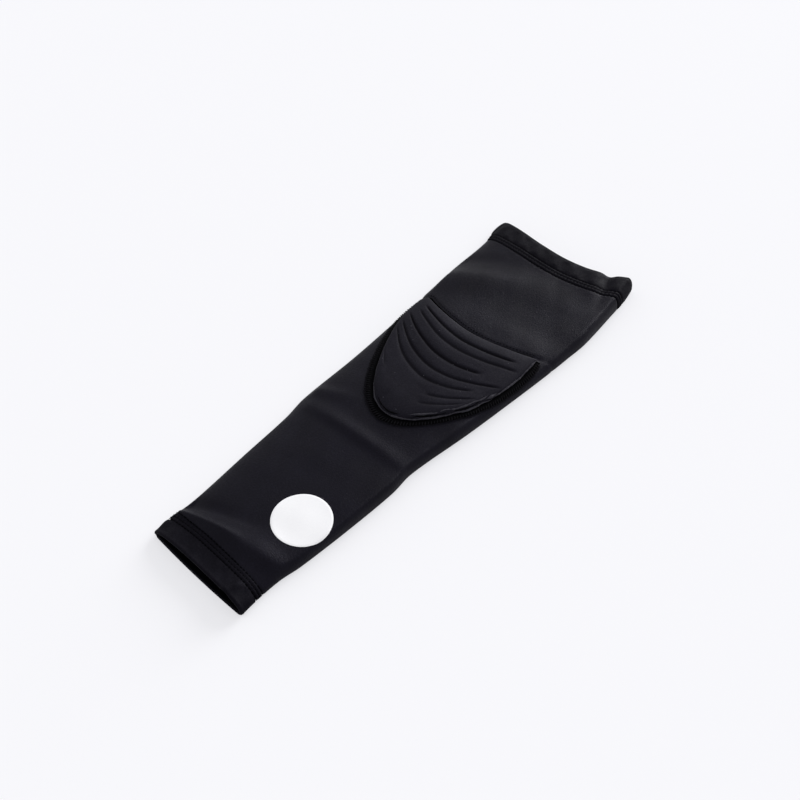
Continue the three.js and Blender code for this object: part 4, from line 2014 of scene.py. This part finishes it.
@dataclass(frozen=True)
class Studio:
    """A pale table top, a low softbox past the sleeve's upper end, and the photograph's camera."""

    target: tuple[float, float, float] = (-3.5, 3.8, 0.0)
    azimuth: float = -49.2
    elevation: float = 48.2
    distance: float = 759.7
    lens: float = 50.0
    sensor: float = 36.0
    # Nearest and farthest that the camera sees, in metres
    clip: tuple[float, float] = (0.01, 100.0)
    floor_side: float = 12000.0
    floor_shade: str = "#a4a4a6"
    floor_roughness: float = 0.9
    floor_specular: float = 0.1
    # The lit table top's glow as the camera sees it, and as it reaches the sleeve
    floor_glow: float = 0.6
    floor_bounce: float = 0.25
    sky_shade: str = "#fcfcff"
    sky_strength: float = 0.68
    # The white wall behind the table, as the camera sees it
    backdrop_strength: float = 0.95
    softboxes: tuple[Softbox, ...] = (
        Softbox(name="low_softbox", azimuth=90.0, elevation=17.0, spread=36.0, strength=3.1),
    )

    def camera(self) -> None:
        """Places the camera at the photograph's angle."""
        back = towards(self.azimuth, self.elevation)
        data = bpy.data.cameras.new("camera")
        data.lens = self.lens
        data.sensor_width = self.sensor
        data.clip_start, data.clip_end = self.clip
        camera = bpy.data.objects.new("camera", data)
        camera.location = (Vector(self.target) + back * self.distance) * MM
        camera.rotation_mode = "QUATERNION"
        camera.rotation_quaternion = (-back).to_track_quat("-Z", "Y")
        bpy.context.scene.collection.objects.link(camera)
        bpy.context.scene.camera = camera

    def floor(self) -> None:
        """Lays the table top: white acrylic, lit through from below."""
        material, tree = new_material("white_lit_acrylic")
        seen = add_node(tree, "ShaderNodeLightPath").outputs["Is Camera Ray"]
        glow = add_node(
            tree,
            "ShaderNodeMapRange",
            {"Value": seen, "To Min": self.floor_bounce, "To Max": self.floor_glow},
        )
        shader = add_node(
            tree,
            "ShaderNodeBsdfPrincipled",
            {
                "Base Color": linear(self.floor_shade),
                "Roughness": self.floor_roughness,
                "Specular IOR Level": self.floor_specular,
                "Emission Color": linear(self.sky_shade),
                "Emission Strength": glow.outputs[0],
            },
        )
        add_node(tree, "ShaderNodeOutputMaterial", {"Surface": shader.outputs[0]})
        half = self.floor_side / 2
        corners = half * np.array([[-1.0, -1.0, 0.0], [1.0, -1.0, 0.0], [1.0, 1.0, 0.0], [-1.0, 1.0, 0.0]])
        floor = new_piece("table_top", corners, [[0, 1, 2, 3]], material)

    def light(self) -> None:
        """Hangs the softboxes and sets the room's light."""
        for softbox in self.softboxes:
            softbox.hang()
        world = bpy.data.worlds.new("room")
        world.use_nodes = True
        tree = world.node_tree
        tree.nodes.clear()
        seen = add_node(tree, "ShaderNodeLightPath").outputs["Is Camera Ray"]
        strength = add_node(
            tree,
            "ShaderNodeMapRange",
            {"Value": seen, "To Min": self.sky_strength, "To Max": self.backdrop_strength},
        )
        sky = add_node(
            tree,
            "ShaderNodeBackground",
            {"Color": linear(self.sky_shade), "Strength": strength.outputs[0]},
        )
        add_node(tree, "ShaderNodeOutputWorld", {"Surface": sky.outputs[0]})
        bpy.context.scene.world = world
        bpy.context.scene.view_settings.view_transform = "Standard"

    def build(self) -> None:
        """Sets the whole scene round the sleeve."""
        self.camera()
        self.floor()
        self.light()


def main() -> None:
    """Builds the sleeve and its setting."""
    logging.basicConfig(level=logging.INFO, format="%(name)s: %(message)s")
    form, plan = SleeveForm(), PadPlan()
    jersey = KnitFinish(
        name="black_stretch_jersey", shade="#0d0c12", light_shade="#14131b", roughness=0.42, specular=0.1,
    ).make()
    # The hems are the panels' jersey, rougher and less glossy, with a darker shade painted on for the shade
    # on the turned hems
    hem = KnitFinish(
        name="turned_jersey_painted_shade", shade="#0a090e", light_shade="#121117", roughness=0.6, specular=0.06,
    ).make()
    # Painted shade: the tube's inside is painted almost black for the shade inside it
    lining = InsideShadeFinish(
        name="tube_inside_painted_shade", shade="#030304", grain_shade="#060607", specular=0.02,
    ).make()
    cover = PadCoverFinish(
        name="black_brushed_pad_cover", shade="#141319", light_shade="#1c1b22", roughness=0.7, specular=0.1,
    ).make()
    thread = ThreadFinish(
        name="black_textured_thread", shade="#020203", grain_shade="#060608", specular=0.03,
    ).make()
    wrapping = ThreadFinish(
        name="black_wrapping_thread", shade="#060507", grain_shade="#19181c", specular=0.07,
    ).make()
    edge = FusedEdgeFinish(
        name="fused_foam_edge", shade="#1d1c21", grain_shade="#434249", specular=0.15,
    ).make()
    film = PrintFinish(name="white_transfer_film", shade="#ffffff", grain_shade="#f8f8fa").make()
    tree = stitch_tree()
    Studio().build()
    Sleeve(form=form, plan=plan).build(tree, {Slot.KNIT: jersey, Slot.HEM: hem}, lining, thread)
    pad = ElbowPad(form=form, plan=plan)
    pad.build(cover)
    SeamBand(form=form, plan=plan).build(tree, thread, wrapping)
    PadLip(pad=pad).build(edge, thread)
    PrintDot(form=form).build(film)


if __name__ == "__main__":
    main()
